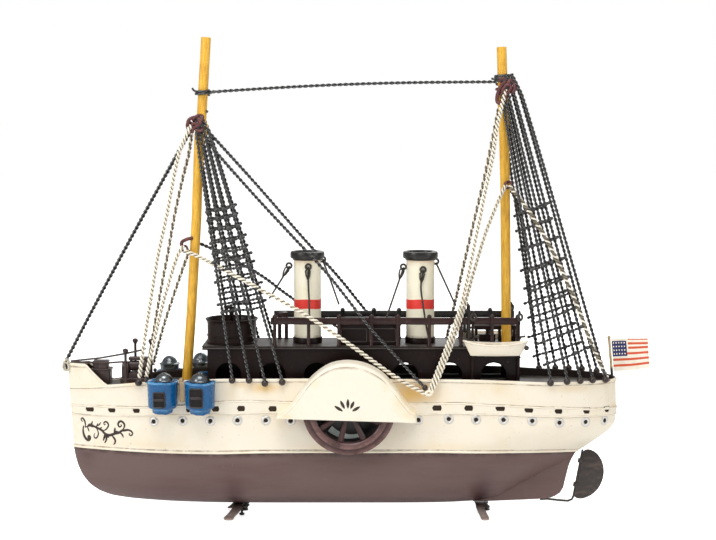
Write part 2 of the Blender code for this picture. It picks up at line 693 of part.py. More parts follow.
def stern_gear(dark):
    """Bent wire under the counter, and a half-round rudder plate with two clips that turn on it."""
    x0, x1 = RUDDER_PIN_X
    z0, z1 = RUDDER_PIN_Z
    low_end = [(129.0, 0.0, 10.5), (137.0, 0.0, 11.3), (146.0, 0.0, 10.4), (153.4, 0.0, 9.8), (156.2, 0.0, 11.0)]
    wire = low_end + [(x0, 0.0, z0), (x1, 0.0, z1), (x1 + 0.25, 0.0, z1 + 1.6)]
    solid("rudder_wire", *rod(wire, WIRE_HALF, 8), dark)
    start = Vector((x0, 0.0, z0))
    along = Vector((x1 - x0, 0.0, z1 - z0))
    axis = along.normalized()
    across = Vector((axis.z, 0.0, -axis.x))
    side = Vector((0.0, 1.0, 0.0))
    shapes = [panel(RUDDER_OUTLINE, (-0.6, 0.6))]
    for place in CLIP_PLACES:
        verts, faces = ring(0.0, 0.0, [
            (WIRE_HALF + GAP, -CLIP_HALF), (CLIP_R, -CLIP_HALF), (CLIP_R, CLIP_HALF), (WIRE_HALF + GAP, CLIP_HALF),
        ], 12)
        centre = start + along * place
        shapes.append(([tuple(centre + across * u + side * v + axis * w) for u, v, w in verts], faces))
    blade = build("rudder", dark, shapes)
    origin = start * MM
    blade.data.transform(Matrix.Translation(-origin))
    blade.location = origin


def paddles(cream, brown, steel):
    """Paddle boxes on the ship's sides, the wheels inside them, and the stub axles that carry them."""
    room = WHEEL_R + WHEEL_ROOM
    for side, name in ((-1, "port"), (1, "starboard")):
        outer = panel(BOX_OUTLINE, BOX_Y)
        opening = [(WHEEL_X - room, WHEEL_Z - room)]
        for i in range(25):
            a = math.pi * (1.0 - i / 24.0)
            opening.append((WHEEL_X + room * math.cos(a), WHEEL_Z + room * math.sin(a)))
        opening.append((WHEEL_X + room, WHEEL_Z - room))
        inner = panel(opening, (BOX_Y[0] - 2.0, BOX_Y[1] - BOX_SHEET))
        build("paddle_box_" + name, cream, [mirrored(outer, side)], [mirrored(inner, side)])
        axle = lathe(WHEEL_X, WHEEL_Z, [(AXLE_R + 1.4, HALF_BEAM + GAP), (AXLE_R + 1.4, 35.6), (AXLE_R, 35.8), (AXLE_R, 48.8)], 16, "y")
        solid("paddle_axle_" + name, *mirrored(axle, side), steel)
        paddle_wheel(name, side, brown)


def paddle_wheel(name, side, mat):
    """Spoked wheel with a stepped rim, turning about y."""
    y0, y1 = WHEEL_Y
    r = WHEEL_R
    hub = AXLE_R + 0.5
    rim = ring(0.0, 0.0, [(r - 8.0, y0), (r, y0), (r, y1 - 2.0), (r - 3.4, y1 - 2.0), (r - 3.4, y1), (r - 8.0, y1)], 36, "y")
    boss = ring(0.0, 0.0, [(hub, y0), (6.0, y0), (6.0, y1), (hub, y1)], 18, "y")
    shapes = [rim, boss]
    for i in range(SPOKES):
        a = 2.0 * math.pi * i / SPOKES - math.pi / 2.0 - math.radians(SPOKE_TURN)
        c, s = math.cos(a), math.sin(a)
        spoke = []
        for y in (y0 + 3.0, y1 - 2.6):
            loop = []
            for rr, w in ((4.5, -1.1), (r - 6.0, -2.0), (r - 6.0, 2.0), (4.5, 1.1)):
                loop.append((rr * c - w * s, y, rr * s + w * c))
            spoke.append(loop)
        shapes.append(stack(spoke))
    wheel = build("paddle_wheel_" + name, mat, [mirrored(shape, side) for shape in shapes])
    wheel.location = (WHEEL_X * MM, 0.0, WHEEL_Z * MM)


def feet(mat):
    """Bent strips under the keel with a pad at each end."""
    for name, x, lean in (("foot_fore", -87.0, -6.0), ("foot_aft", 88.5, 3.0)):
        shapes = [brick((x - 7.0, x + 7.0), (-9.0, 9.0), (7.9, 8.9))]
        for side in (-1, 1):
            leg = stack([
                [(x + shift - w, side * (y - 0.6), z), (x + shift + w, side * (y - 0.6), z),
                 (x + shift + w, side * (y + 0.6), z), (x + shift - w, side * (y + 0.6), z)]
                for shift, w, y, z in ((0.0, 3.4, 8.6, 8.6), (lean * 0.5, 2.6, 12.0, 4.5), (lean, 2.6, 15.0, 1.0))
            ])
            pad = brick((x + lean - 4.2, x + lean + 4.2), sorted((side * 12.6, side * 18.6)), (0.0, 1.3))
            shapes += [leg, pad]
        build(name, mat, shapes)


def main():
    clear_scene()
    cream = material("cream_paint", "F3E6CA", 0.45)
    brown = material("hull_brown_paint", "6A554F", 0.5)
    dark = material("dark_brown_paint", "2E211E", 0.5)
    black = material("black_wire", "2A2A28", 0.5)
    blue = material("blue_paint", "2F6DB0", 0.4)
    steel = material("dull_steel", "6E7478", 0.4, 0.8)
    wood = material("varnished_wood", "E3A92C", 0.45)
    wheel_brown = material("red_brown_paint", "5B3B3A", 0.5)
    grey = material("grey_deck_paint", "55504C", 0.6)
    hull_bottom(brown)
    hull_topside(cream)
    deck(grey)
    deckhouse(dark)
    wheelhouse(dark)
    cabin(dark)
    funnels(cream, black)
    rails(dark)
    masts(wood)
    shrouds(black)
    stays(black)
    lifeboats(cream)
    davits(dark)
    turrets(blue, steel)
    foredeck(dark, steel)
    flag(dark, cream)
    stern_gear(dark)
    paddles(cream, wheel_brown, steel)
    feet(brown)


main()
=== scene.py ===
import math

import bmesh
import bpy
import numpy as np
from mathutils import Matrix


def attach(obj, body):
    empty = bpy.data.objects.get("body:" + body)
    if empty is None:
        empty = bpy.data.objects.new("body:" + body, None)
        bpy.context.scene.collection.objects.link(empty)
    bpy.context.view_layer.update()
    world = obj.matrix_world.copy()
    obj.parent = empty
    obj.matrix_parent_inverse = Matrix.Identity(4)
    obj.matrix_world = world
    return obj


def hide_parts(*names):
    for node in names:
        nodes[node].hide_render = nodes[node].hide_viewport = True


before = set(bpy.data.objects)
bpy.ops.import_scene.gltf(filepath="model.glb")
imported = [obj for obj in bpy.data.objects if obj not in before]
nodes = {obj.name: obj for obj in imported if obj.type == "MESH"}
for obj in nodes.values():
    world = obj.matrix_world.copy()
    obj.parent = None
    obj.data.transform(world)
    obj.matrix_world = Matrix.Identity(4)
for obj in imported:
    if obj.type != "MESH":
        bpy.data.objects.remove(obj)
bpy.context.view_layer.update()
MM = 0.001


# Camera. The photograph was taken from port, square to the side and a little above the masts' middle,
# with a lens long enough that the near and far gunwales stay close together.
CAMERA_AT = (0.0, -1.0395, 0.2756)
CAMERA_DOWN_DEG = 5.3
CAMERA_LENS = 72.9
camera = bpy.data.objects.new("camera", bpy.data.cameras.new("camera"))
camera.data.lens = CAMERA_LENS
camera.data.sensor_width = 36.0
camera.data.clip_start = 0.01
camera.location = CAMERA_AT
camera.rotation_euler = (math.radians(90.0 - CAMERA_DOWN_DEG), 0.0, 0.0)
bpy.context.scene.collection.objects.link(camera)
bpy.context.scene.camera = camera
bpy.context.scene.view_settings.view_transform = "Standard"


# Studio. A white tabletop that runs far out, an even white surround, and four large soft lamps: one
# above, one from the camera's left, a weaker one from its right and one behind the ship.
def linear(code):
    """sRGB hex code to linear red, green, blue and alpha."""
    out = []
    for k in (0, 2, 4):
        c = int(code[k:k + 2], 16) / 255.0
        out.append(c / 12.92 if c <= 0.04045 else ((c + 0.055) / 1.055) ** 2.4)
    return (*out, 1.0)


def node(tree, kind, settings=None, **links):
    """Add a node: settings go to its properties or sockets, links join its sockets to other outputs."""
    new = tree.nodes.new(kind)
    for key, value in (settings or {}).items():
        if isinstance(key, str) and hasattr(new, key):
            setattr(new, key, value)
        else:
            new.inputs[key].default_value = value
    for key, source in links.items():
        socket = new.inputs[int(key[1:])] if key[1:].isdigit() else new.inputs[key.replace("_", " ")]
        tree.links.new(source, socket)
    return new


def lamp(name, place, aim, size, watts):
    """Square area lamp at a place, turned to face a point."""
    data = bpy.data.lights.new(name, "AREA")
    data.shape = "SQUARE"
    data.size = size
    data.energy = watts
    obj = bpy.data.objects.new(name, data)
    obj.location = place
    away = np.array(place) - np.array(aim)
    obj.rotation_euler = (
        math.atan2(math.hypot(away[0], away[1]), away[2]), 0.0, math.atan2(away[0], -away[1]),
    )
    bpy.context.scene.collection.objects.link(obj)


lamp("lamp_above", (-0.15, -0.55, 1.35), (0.0, 0.0, 0.1), 0.9, 11.0)
lamp("lamp_left", (-1.2, -1.0, 0.75), (0.0, 0.0, 0.12), 0.6, 7.6)
lamp("lamp_right", (1.3, -0.8, 0.45), (0.0, 0.0, 0.12), 0.6, 3.4)
lamp("lamp_behind", (0.3, 1.3, 1.0), (0.0, 0.0, 0.12), 0.9, 6.5)

# How bright the surround and the board are to the ship and to the camera.
SURROUND_LIGHT = (0.4, 1.0)
BOARD_GLOW = (0.02, 0.8)


def seen_light(tree, shares):
    """Output that holds the first share for the ship and the second for the camera."""
    seen = node(tree, "ShaderNodeLightPath").outputs["Is Camera Ray"]
    return node(tree, "ShaderNodeMapRange", {3: shares[0], 4: shares[1]}, Value=seen).outputs[0]


# The surround is pure white to the camera, as in the photograph, and lights the ship more dimly.
world = bpy.data.worlds.new("white_surround")
bpy.context.scene.world = world
world.use_nodes = True
background = world.node_tree.nodes["Background"].inputs
background["Color"].default_value = (1.0, 1.0, 1.0, 1.0)
world.node_tree.links.new(seen_light(world.node_tree, SURROUND_LIGHT), background["Strength"])


def new_material(name):
    """New material, its node tree and the inputs of its shader."""
    material = bpy.data.materials.new(name)
    material.use_nodes = True
    return material, material.node_tree, material.node_tree.nodes["Principled BSDF"].inputs


# A light table: the board glows for the camera, so that no shadow shows, and lights the ship dimly.
tabletop, tree, board = new_material("matt_white_board")
board["Base Color"].default_value = linear("FDFDFC")
board["Roughness"].default_value = 0.9
board["Emission Color"].default_value = linear("FFFFFF")
tree.links.new(seen_light(tree, BOARD_GLOW), board["Emission Strength"])
FLOOR_REACH = 9.0
FLOOR_Z = -0.0002
floor_mesh = bpy.data.meshes.new("tabletop")
corners = [(a * FLOOR_REACH, b * FLOOR_REACH, FLOOR_Z) for a, b in ((-1, -1), (1, -1), (1, 1), (-1, 1))]
floor_mesh.from_pydata(corners, [], [(0, 1, 2, 3)])
floor_mesh.materials.append(tabletop)
floor = bpy.data.objects.new("tabletop", floor_mesh)
bpy.context.scene.collection.objects.link(floor)


# Hull above the waterline. Cream enamel over soldered sheet: a loft of plan outlines, each one a power
# curve at the bow and at the stern that meets a parallel middle, closed by a thin bulwark round the deck.
# Columns: x, waterline height, gunwale height.
HULL_LINES = np.array((
    (-212.0, 50.1, 94.6), (-190.0, 50.5, 96.6), (-174.0, 50.6, 98.4), (-147.0, 50.7, 101.8),
    (-123.0, 51.0, 103.4), (-97.0, 51.4, 105.0), (-70.0, 52.4, 105.3), (-38.0, 52.7, 105.5),
    (60.0, 52.7, 105.0), (84.0, 52.0, 104.6), (108.0, 51.2, 103.8), (133.0, 49.6, 102.6),
    (150.0, 48.0, 102.4), (160.0, 46.6, 102.2), (190.0, 46.0, 101.5),
))
# Columns: level, stem x, stern x, half beam, bow run, bow fullness, stern run, stern fullness.
TOPSIDE = np.array((
    (0.00, -206.8, 158.7, 33.0, 145.0, 0.86, 102.0, 0.85),
    (0.08, -207.0, 166.6, 33.0, 146.0, 0.86, 98.0, 0.75),
    (0.20, -207.3, 175.6, 33.0, 148.0, 0.86, 90.0, 0.62),
    (0.32, -207.6, 183.4, 33.0, 150.0, 0.85, 84.0, 0.54),
    (0.42, -207.8, 186.8, 33.0, 152.0, 0.85, 80.0, 0.50),
    (0.60, -208.2, 187.2, 33.0, 154.0, 0.85, 78.0, 0.48),
    (0.98, -209.4, 186.6, 33.0, 155.0, 0.85, 77.0, 0.47),
))
# Raised belt along the side. Columns: x, height of its lower edge, height of its upper edge.
BELT_LINES = np.array((
    (-208.0, 74.8, 81.1), (-183.0, 75.4, 81.5), (-152.5, 76.6, 82.7), (-125.5, 79.0, 85.2),
    (-94.4, 80.3, 88.4), (-70.6, 80.9, 89.4), (-57.0, 81.3, 88.9), (41.0, 80.5, 87.7), (71.0, 81.0, 87.7),
    (83.5, 80.2, 86.9), (102.4, 79.9, 86.4), (131.0, 78.7, 84.7), (160.0, 77.1, 82.5), (184.0, 75.8, 80.7),
))
# The belt's lower and upper bead: share of the way up the belt, and where their unevenness starts.
LOWER_BEAD = (0.0, 1.0)
UPPER_BEAD = (1.0, 2.6)
HULL_ENDS = (-208.0, 187.0)
DECK_TOP = 97.0
BULWARK = 1.2
BOW_TOP = 111.8
BOW_RISE_X = (-195.6, -180.0)
RIM_LEVEL = 0.98
# How far the rim's stem lies ahead, and how many times its inset the sharp bow of the inside lies aft.
RIM_AHEAD = 0.6
RIM_BOW_INSET = 3.5
# Least half width at the ends, and how far cream sheet and brown sheet part at the waterline.
EDGE = 0.35
SHEET_LIFT = 0.15


def smooth_columns(table, levels):
    """Table columns read at the given levels and eased, so that the table's own rows leave no creases."""
    fine = np.linspace(table[0, 0], table[-1, 0], 241)
    window = np.hanning(27)[1:-1]
    window /= window.sum()
    pad = len(window) // 2
    out = []
    for column in range(1, table.shape[1]):
        values = np.interp(fine, table[:, 0], table[:, column])
        ends = (2 * values[0] - values[pad:0:-1], 2 * values[-1] - values[-2:-pad - 2:-1])
        values = np.convolve(np.concatenate((ends[0], values, ends[1])), window, mode="valid")
        out.append(np.interp(levels, fine, values))
    return np.array(out)


def waver(x, seed, size=0.22):
    """Hand-made unevenness along a line: three slow waves of unlike lengths added up."""
    waves = np.sin(x / 13.0 + seed) + 0.6 * np.sin(x / 5.3 + 2.1 * seed) + 0.4 * np.sin(x / 2.9 + 3.7 * seed)
    return size * waves


def sheer(x, column):
    """Waterline (1) or gunwale (2) height along the length."""
    return np.interp(x, HULL_LINES[:, 0], HULL_LINES[:, column])


def level_at(x, z):
    """Share of the way up from the waterline to the gunwale of a height at x."""
    low, high = sheer(x, 1), sheer(x, 2)
    return (z - low) / (high - low)


def belt_level(share, seed=0.0, offset=0.0):
    """Function of x for the level of a line on the belt: share 0 is its lower edge and 1 its upper one."""
    def at(x):
        low = np.interp(x, BELT_LINES[:, 0], BELT_LINES[:, 1])
        high = np.interp(x, BELT_LINES[:, 0], BELT_LINES[:, 2])
        return level_at(x, low + share * (high - low) + offset + waver(x, seed))
    return at


def half_beam(x, row):
    """Half width at x: full beam times one power curve for the bow and one for the stern."""
    stem, stern, beam, bow_run, bow_full, stern_run, stern_full = row
    t = np.clip((x - stem) / bow_run, 0.0, 1.0)
    u = np.clip((stern - x) / stern_run, 0.0, 1.0)
    return beam * (1.0 - (1.0 - t) ** 2) ** bow_full * (1.0 - (1.0 - u) ** 2) ** stern_full


def closed_plan(x, y, z):
    """Port points from bow to stern, then the same on starboard back to the bow."""
    port = np.stack((x, -y, z), 1)
    return np.concatenate((port, (port * (1.0, -1.0, 1.0))[::-1]))


def stations(stem, stern, count=120):
    """Places along the length, closer together towards both ends."""
    s = np.linspace(0.0, 1.0, count)
    return stem + (stern - stem) * (s - 0.145 * np.sin(2.0 * np.pi * s))


def hull_loop(level, grow=0.0, lift=0.0):
    """Closed outline of the topside at a level, which may be a number or a function of x."""
    at = level if callable(level) else (lambda x: np.full(np.shape(x), float(level)))
    ends = smooth_columns(TOPSIDE, at(np.array(HULL_ENDS)))
    x = stations(ends[0, 0] - grow, ends[1, 1] + grow)
    levels = at(x)
    row = smooth_columns(TOPSIDE, levels)
    row[0] -= grow
    row[1] += grow
    row[2] += grow
    y = np.maximum(half_beam(x, row), EDGE + 0.5 * grow)
    low, high = sheer(x, 1), sheer(x, 2)
    return closed_plan(x, y, low + levels * (high - low) + lift)


def rim_height(x):
    """Top of the bulwark: the gunwale, with the raised wings at the bow."""
    share = np.clip((BOW_RISE_X[1] - x) / (BOW_RISE_X[1] - BOW_RISE_X[0]), 0.0, 1.0)
    return sheer(x, 2) + np.maximum(BOW_TOP - sheer(x, 2), 0.0) * share


def rim_loop(grow, drop, inset=0.0, floor_z=None):
    """Outline at the bulwark's rim, a given drop below its top, or flat at a height."""
    row = smooth_columns(TOPSIDE, np.array([RIM_LEVEL]))[:, 0]
    row[0] += RIM_BOW_INSET * inset - grow - RIM_AHEAD
    row[1] += grow - inset
    row[2] += grow - inset
    row[3] -= 3.0 * inset
    x = stations(row[0], row[1])
    y = np.maximum(half_beam(x, row), EDGE + 0.5 * grow)
    z = rim_height(x) - drop if floor_z is None else np.full(len(x), floor_z)
    return closed_plan(x, y, z)


def stacked(loops, closed=True, caps=(True, True)):
    """Points and faces of equal loops joined one to the next, with the ends filled."""
    grid = np.array(loops, float)
    levels, count = grid.shape[:2]
    index = np.arange(levels * count).reshape(levels, count)
    nxt = np.roll(index, -1, axis=1)
    a, b, c, d = index[:-1], nxt[:-1], nxt[1:], index[1:]
    if not closed:
        a, b, c, d = a[:, :-1], b[:, :-1], c[:, :-1], d[:, :-1]
    faces = np.stack((a, b, c, d), -1).reshape(-1, 4).tolist()
    if caps[0]:
        faces.append(index[0][::-1].tolist())
    if caps[1]:
        faces.append(index[-1].tolist())
    return grid.reshape(-1, 3), faces


def turned_ring(loops):
    """Points and faces of loops whose last one joins the first again."""
    points, faces = stacked(loops, caps=(False, False))
    levels, count = np.array(loops).shape[:2]
    index = np.arange(levels * count).reshape(levels, count)
    last, first = index[-1], index[0]
    faces += np.stack((last, np.roll(last, -1), np.roll(first, -1), first), -1).tolist()
    return points, faces


def make(name, shapes, material, crease_deg=40.0, body="ship", instead=None):
    """One object of closed shapes in millimetres, riding on a body.

    A shape is points and faces, and may add a mark value for each point, which the enamels read as soil,
    painted light and stains.
    """
    points, faces, painted_light_and_grime, start = [], [], [], 0
    for shape in shapes:
        verts = np.asarray(shape[0], float)
        points.append(verts)
        faces += [[start + i for i in face] for face in shape[1]]
        painted_light_and_grime.append(np.asarray(shape[2], float) if len(shape) > 2 else np.zeros(len(verts)))
        start += len(verts)
    mesh = bpy.data.meshes.new(name)
    mesh.from_pydata((np.concatenate(points) * MM).tolist(), [], faces)
    layer = mesh.attributes.new("painted_light_and_grime", "FLOAT", "POINT")
    layer.data.foreach_set("value", np.concatenate(painted_light_and_grime).astype(np.float32))
    bm = bmesh.new()
    bm.from_mesh(mesh)
    bmesh.ops.recalc_face_normals(bm, faces=bm.faces)
    bm.to_mesh(mesh)
    bm.free()
    mesh.shade_smooth()
    mesh.set_sharp_from_angle(angle=math.radians(crease_deg))
    mesh.materials.append(material)
    obj = bpy.data.objects.new(name, mesh)
    bpy.context.scene.collection.objects.link(obj)
    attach(obj, body)
    if instead:
        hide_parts(instead)
    return obj


# Sizes of the specks, of the gaps in the marks of soil and painted shade, and of the dents, mm, and the
# depth of the dents, m.
SPECK_MM = 2.2
MARK_GAP_MM = 9.0
DENT_MM = 14.0
DENT_DEPTH = 0.0012


def noise(tree, size_mm, detail, vector, roughness=0.5):
    """Output of a soft noise whose patches are about size_mm across."""
    settings = {"Scale": 1000.0 / size_mm, "Detail": detail, "Roughness": roughness}
    return node(tree, "ShaderNodeTexNoise", settings, Vector=vector).outputs["Fac"]


def ramp(tree, value, low, high, start, end):
    """Output that runs from start to end while the value runs from low to high."""
    return node(tree, "ShaderNodeMapRange", {1: low, 2: high, 3: start, 4: end}, Value=value).outputs[0]


def mixed(tree, share, under, over):
    """Output of a colour: a share of the hex code over, the rest of under, a hex code or an output."""
    if isinstance(under, str):
        settings = {"data_type": "RGBA", 6: linear(under), 7: linear(over)}
        return node(tree, "ShaderNodeMix", settings, i0=share).outputs[2]
    return node(tree, "ShaderNodeMix", {"data_type": "RGBA", 7: linear(over)}, i0=share, i6=under).outputs[2]


def enamel(name, base, stain, speck, rough, stain_mm=26.0, stain_amount=0.5, speck_amount=0.5, dent=0.12,
           dirt_and_painted_light="7A5C38", shine=0.5, stretch=(1.0, 1.0, 1.0), rust_and_painted_light="E4BC6E", even=0.1, metal=0.0):
    """Brushed enamel on sheet metal: broad stains, small specks, marks of soil and painted light, slow dents.

    The stain is soft noise of stain_mm, drawn out by stretch into brush streaks; the specks are a fine
    noise cut off high. Where the mesh's mark values are above zero one mark colour shows, broken up by a
    noise unless even is 1: soil and painted shade in joints, hollows and between laid strands, and on a
    few rims a painted highlight. Where they are below zero another colour shows: stains run from rusting
    fittings, darker patches on the bottom with painted shade under its crease, and a painted highlight on
    the feet's tips.
    """
    material, tree, shader = new_material(name)
    shader["Specular IOR Level"].default_value = shine
    shader["Metallic"].default_value = metal
    coord = tree.nodes.new("ShaderNodeTexCoord").outputs["Object"]
    brushed = node(tree, "ShaderNodeMapping", {"Scale": stretch}, Vector=coord)
    broad = noise(tree, stain_mm, 4.0, brushed.outputs[0], 0.6)
    fine = noise(tree, SPECK_MM, 3.0, coord)
    stained = mixed(tree, ramp(tree, broad, 0.48, 0.78, 0.0, stain_amount), base, stain)
    specked = mixed(tree, ramp(tree, fine, 0.66, 0.76, 0.0, speck_amount), stained, speck)
    painted_light_and_grime_value = node(tree, "ShaderNodeAttribute", {"attribute_name": "painted_light_and_grime"}).outputs["Fac"]
    broken = ramp(tree, noise(tree, MARK_GAP_MM, 3.0, coord, 0.7), 0.34, 0.62, even, 1.0)
    times = {"operation": "MULTIPLY", "use_clamp": True}
    dirt_and_painted_light_share = node(tree, "ShaderNodeMath", times, i0=painted_light_and_grime_value, i1=broken).outputs[0]
    with_rust_and_painted_light = mixed(tree, ramp(tree, painted_light_and_grime_value, 0.0, -1.0, 0.0, 1.0), specked, rust_and_painted_light)
    with_dirt_and_painted_light = mixed(tree, dirt_and_painted_light_share, with_rust_and_painted_light, dirt_and_painted_light)
    tree.links.new(with_dirt_and_painted_light, shader["Base Color"])
    gloss = ramp(tree, broad, 0.3, 0.7, rough - 0.06, rough + 0.1)
    tree.links.new(gloss, shader["Roughness"])
    slow = noise(tree, DENT_MM, 2.0, coord)
    bump = node(tree, "ShaderNodeBump", {"Strength": dent, "Distance": DENT_DEPTH}, Height=slow)
    tree.links.new(bump.outputs[0], shader["Normal"])
    return material


def with_painted_light_and_grime(shape, values):
    """Shape made of equal loops, with one mark value for each loop, read as soil, painted shade and painted
    highlights.
    """
    per_loop = len(shape[0]) // len(values)
    return (*shape, np.repeat(values, per_loop))


# Yellowed cream enamel: warm white, tan where it has soaked and aged, a soft sheen.
cream_enamel = enamel("yellowed_cream_enamel", "F5EBD8", "EDD8B0", "A88A5E", 0.36, 30.0, 0.45, 0.35,
                      dent=0.16)
# Half distance between the two lines of painted shade along each belt bead, as a level, and the mark above
# which soil and painted shade hide the stains.
SEAM = 0.010
SHADE_AND_GRIME_FROM = 0.3
# Columns: level, mark. The marks are painted shade: a line just above the waterline bead, lines along both
# edges of each belt bead, and a line under the folded rim.
rows = [(0.0, 0.0), (0.02, 0.0), (0.034, 1.0)] + [(v, 0.0) for v in np.linspace(0.05, 0.50, 22)]
for share, seed in (LOWER_BEAD, UPPER_BEAD):
    middle = belt_level(share, seed)
    for step, dirt_and_painted_light in ((-2.2, 0.0), (-1.1, 0.9), (0.0, 0.0), (1.1, 0.9), (2.2, 0.0)):
        rows.append((lambda x, step=step, middle=middle: middle(x) + step * SEAM, dirt_and_painted_light))
rows += [(v, 0.0) for v in (0.72, 0.76, 0.80, 0.83, 0.86, 0.89, 0.92, 0.945)] + [(0.955, 1.0), (0.965, 0.0)]
outer = [hull_loop(level, lift=SHEET_LIFT) for level, dirt_and_painted_light in rows]
rim = [rim_loop(0.0, 0.9), rim_loop(-0.1, 0.25), rim_loop(-0.4, 0.0), rim_loop(0.0, 0.25, BULWARK - 0.2),
       rim_loop(0.0, 0.9, BULWARK), rim_loop(0.0, 0.0, BULWARK, DECK_TOP - 1.1)]
topside = with_painted_light_and_grime(stacked(outer + rim), [dirt_and_painted_light for level, dirt_and_painted_light in rows] + [0.0] * len(rim))
# Rust that has run from the fittings. Columns: x, height, half length, half height, strength.
STAINS = (
    (-66.0, 99.0, 10.0, 3.4, 0.9), (-80.0, 100.8, 12.0, 2.2, 0.5), (-90.0, 96.0, 3.5, 7.0, 0.3),
    (-57.5, 84.0, 3.0, 3.5, 0.5), (38.0, 95.0, 15.0, 9.0, 1.0), (47.0, 86.4, 7.0, 2.2, 0.6),
    (-160.0, 99.6, 8.0, 2.5, 0.3), (-190.0, 98.0, 12.0, 4.0, 0.2), (184.0, 80.0, 3.0, 2.4, 0.9),
    (100.0, 98.0, 3.0, 4.0, 0.35), (150.0, 97.6, 16.0, 2.6, 0.25), (60.0, 56.0, 30.0, 4.0, 0.2),
    (-20.0, 56.0, 20.0, 4.0, 0.2), (-150.0, 56.0, 25.0, 3.0, 0.2),
)


def rust_and_shade_at(points, spots):
    """Stains and painted shade on points of the side: the strongest of soft round spots, as values below
    zero.
    """
    amount = np.zeros(len(points))
    for x, z, wide, tall, strength in spots:
        far = ((points[:, 0] - x) / wide) ** 2 + ((points[:, 2] - z) / tall) ** 2
        amount = np.maximum(amount, strength * np.exp(-far))
    return -amount


def with_rust_and_shade(shape, spots):
    """Shape made of marked loops, with stains and painted shade from the spots wherever no mark hides them.
    """
    points, faces, painted_light_and_grime = shape
    return points, faces, np.where(painted_light_and_grime > SHADE_AND_GRIME_FROM, painted_light_and_grime, rust_and_shade_at(points, spots))


make("topside_sheet", [with_rust_and_shade(topside, STAINS)], cream_enamel, 50.0, instead="hull_topside")


# Inside of the bulwark. The same sheet was left in its dark ground colour on the deck side, where the
# photo shows it nearly black; it is a thin lining painted on the inner face down to the deck.
bulwark_ground = enamel("dark_ground_coat", "2A211D", "44372F", "5E4C40", 0.5, 18.0, 0.6, 0.4, shine=0.25)
LINING_INSET = BULWARK + 0.35
lining = [rim_loop(0.0, 1.3, BULWARK), rim_loop(0.0, 1.3, LINING_INSET),
          rim_loop(0.0, 0.0, LINING_INSET, DECK_TOP + 0.1), rim_loop(0.0, 0.0, BULWARK, DECK_TOP + 0.1)]
make("bulwark_lining", [turned_ring(lining)], bulwark_ground, 40.0)


# Raised belt along the side between two beads, pierced by small slots; the dark patches behind them are
# painted shade of the dark inside.
# The belt is a thin strip soldered on; the slots are punched before it goes on.
# Columns: x, height, half length.
SLOTS = np.array((
    (-193.1, 79.4, 3.3), (-176.2, 80.0, 2.8), (-157.8, 80.7, 2.6), (-137.0, 81.6, 2.6), (-119.0, 82.8, 2.6),
    (-100.5, 83.7, 2.7), (-82.3, 84.3, 2.8), (-60.1, 84.2, 2.9), (-40.0, 84.4, 2.8), (-18.0, 84.5, 2.8),
    (6.0, 84.6, 2.8), (30.0, 84.7, 2.8), (55.5, 84.8, 3.3), (77.8, 84.7, 3.1), (100.0, 84.7, 3.3),
    (120.1, 83.4, 3.1), (141.3, 82.1, 2.8), (161.9, 81.1, 2.5), (177.6, 80.6, 1.9),
))
SLOT_HALF_HEIGHT = 1.95
SLOT_POINT = 0.9
SLOT_MARGIN = 0.3
# The belt's ends, the width of its plain edges, and where its front and back lie off the hull.
BELT_ENDS = (-205.5, 186.3)
BELT_LIP = 0.8
BELT_FRONT = 0.65
BELT_BACK = -0.4
# The dark colour behind the slots and in the eyelets is painted shade of the hull's dark inside.
dark_inside_with_shade = enamel("dark_inside_with_painted_shade", "3A2E24", "241C16", "5A4A3A", 0.7, shine=0.2)


def side_points(x, level, out, side):
    """Points on the ship's side at x and a level, moved out along the plan normal."""
    x, level = np.broadcast_arrays(np.asarray(x, float), np.asarray(level, float))
    flat = x.ravel()
    rows = smooth_columns(TOPSIDE, level.ravel())
    y = half_beam(flat, rows)
    slope = (half_beam(flat + 0.4, rows) - y) / 0.4
    size = np.hypot(1.0, slope)
    low, high = sheer(flat, 1), sheer(flat, 2)
    z = low + level.ravel() * (high - low)
    points = np.stack((flat - out * slope / size, side * (y + out / size), z), 1)
    return points.reshape(*x.shape, 3)


def half_round(level, size, out):
    """Bead along both sides and round the stern: a half ellipse swept along a level of the hull."""
    # The bead's edges against the hull and its two inner loops are marked with painted shade.
    loops, dirt_and_painted_light = [], []
    for angle in np.linspace(-0.5 * np.pi, 0.5 * np.pi, 7):
        loops.append(hull_loop(level, grow=out * math.cos(angle), lift=size * math.sin(angle)))
        dirt_and_painted_light.append(0.85 if abs(angle) > 1.5 else 0.0)
    loops += [hull_loop(level, grow=-0.5, lift=size), hull_loop(level, grow=-0.5, lift=-size)]
    return with_painted_light_and_grime(turned_ring(loops), dirt_and_painted_light + [0.9, 0.9])


def slot_half_height(x):
    """Half height of the slot at x: full over its length, narrowed at its ends, most at the bow end."""
    from_bow = (x[:, None] - (SLOTS[:, 0] - SLOTS[:, 2])) / SLOT_POINT
    from_stern = ((SLOTS[:, 0] + SLOTS[:, 2]) - x[:, None]) / (0.4 * SLOT_POINT)
    return SLOT_HALF_HEIGHT * np.clip(np.minimum(from_bow, from_stern).max(axis=1), 0.25, 1.0)


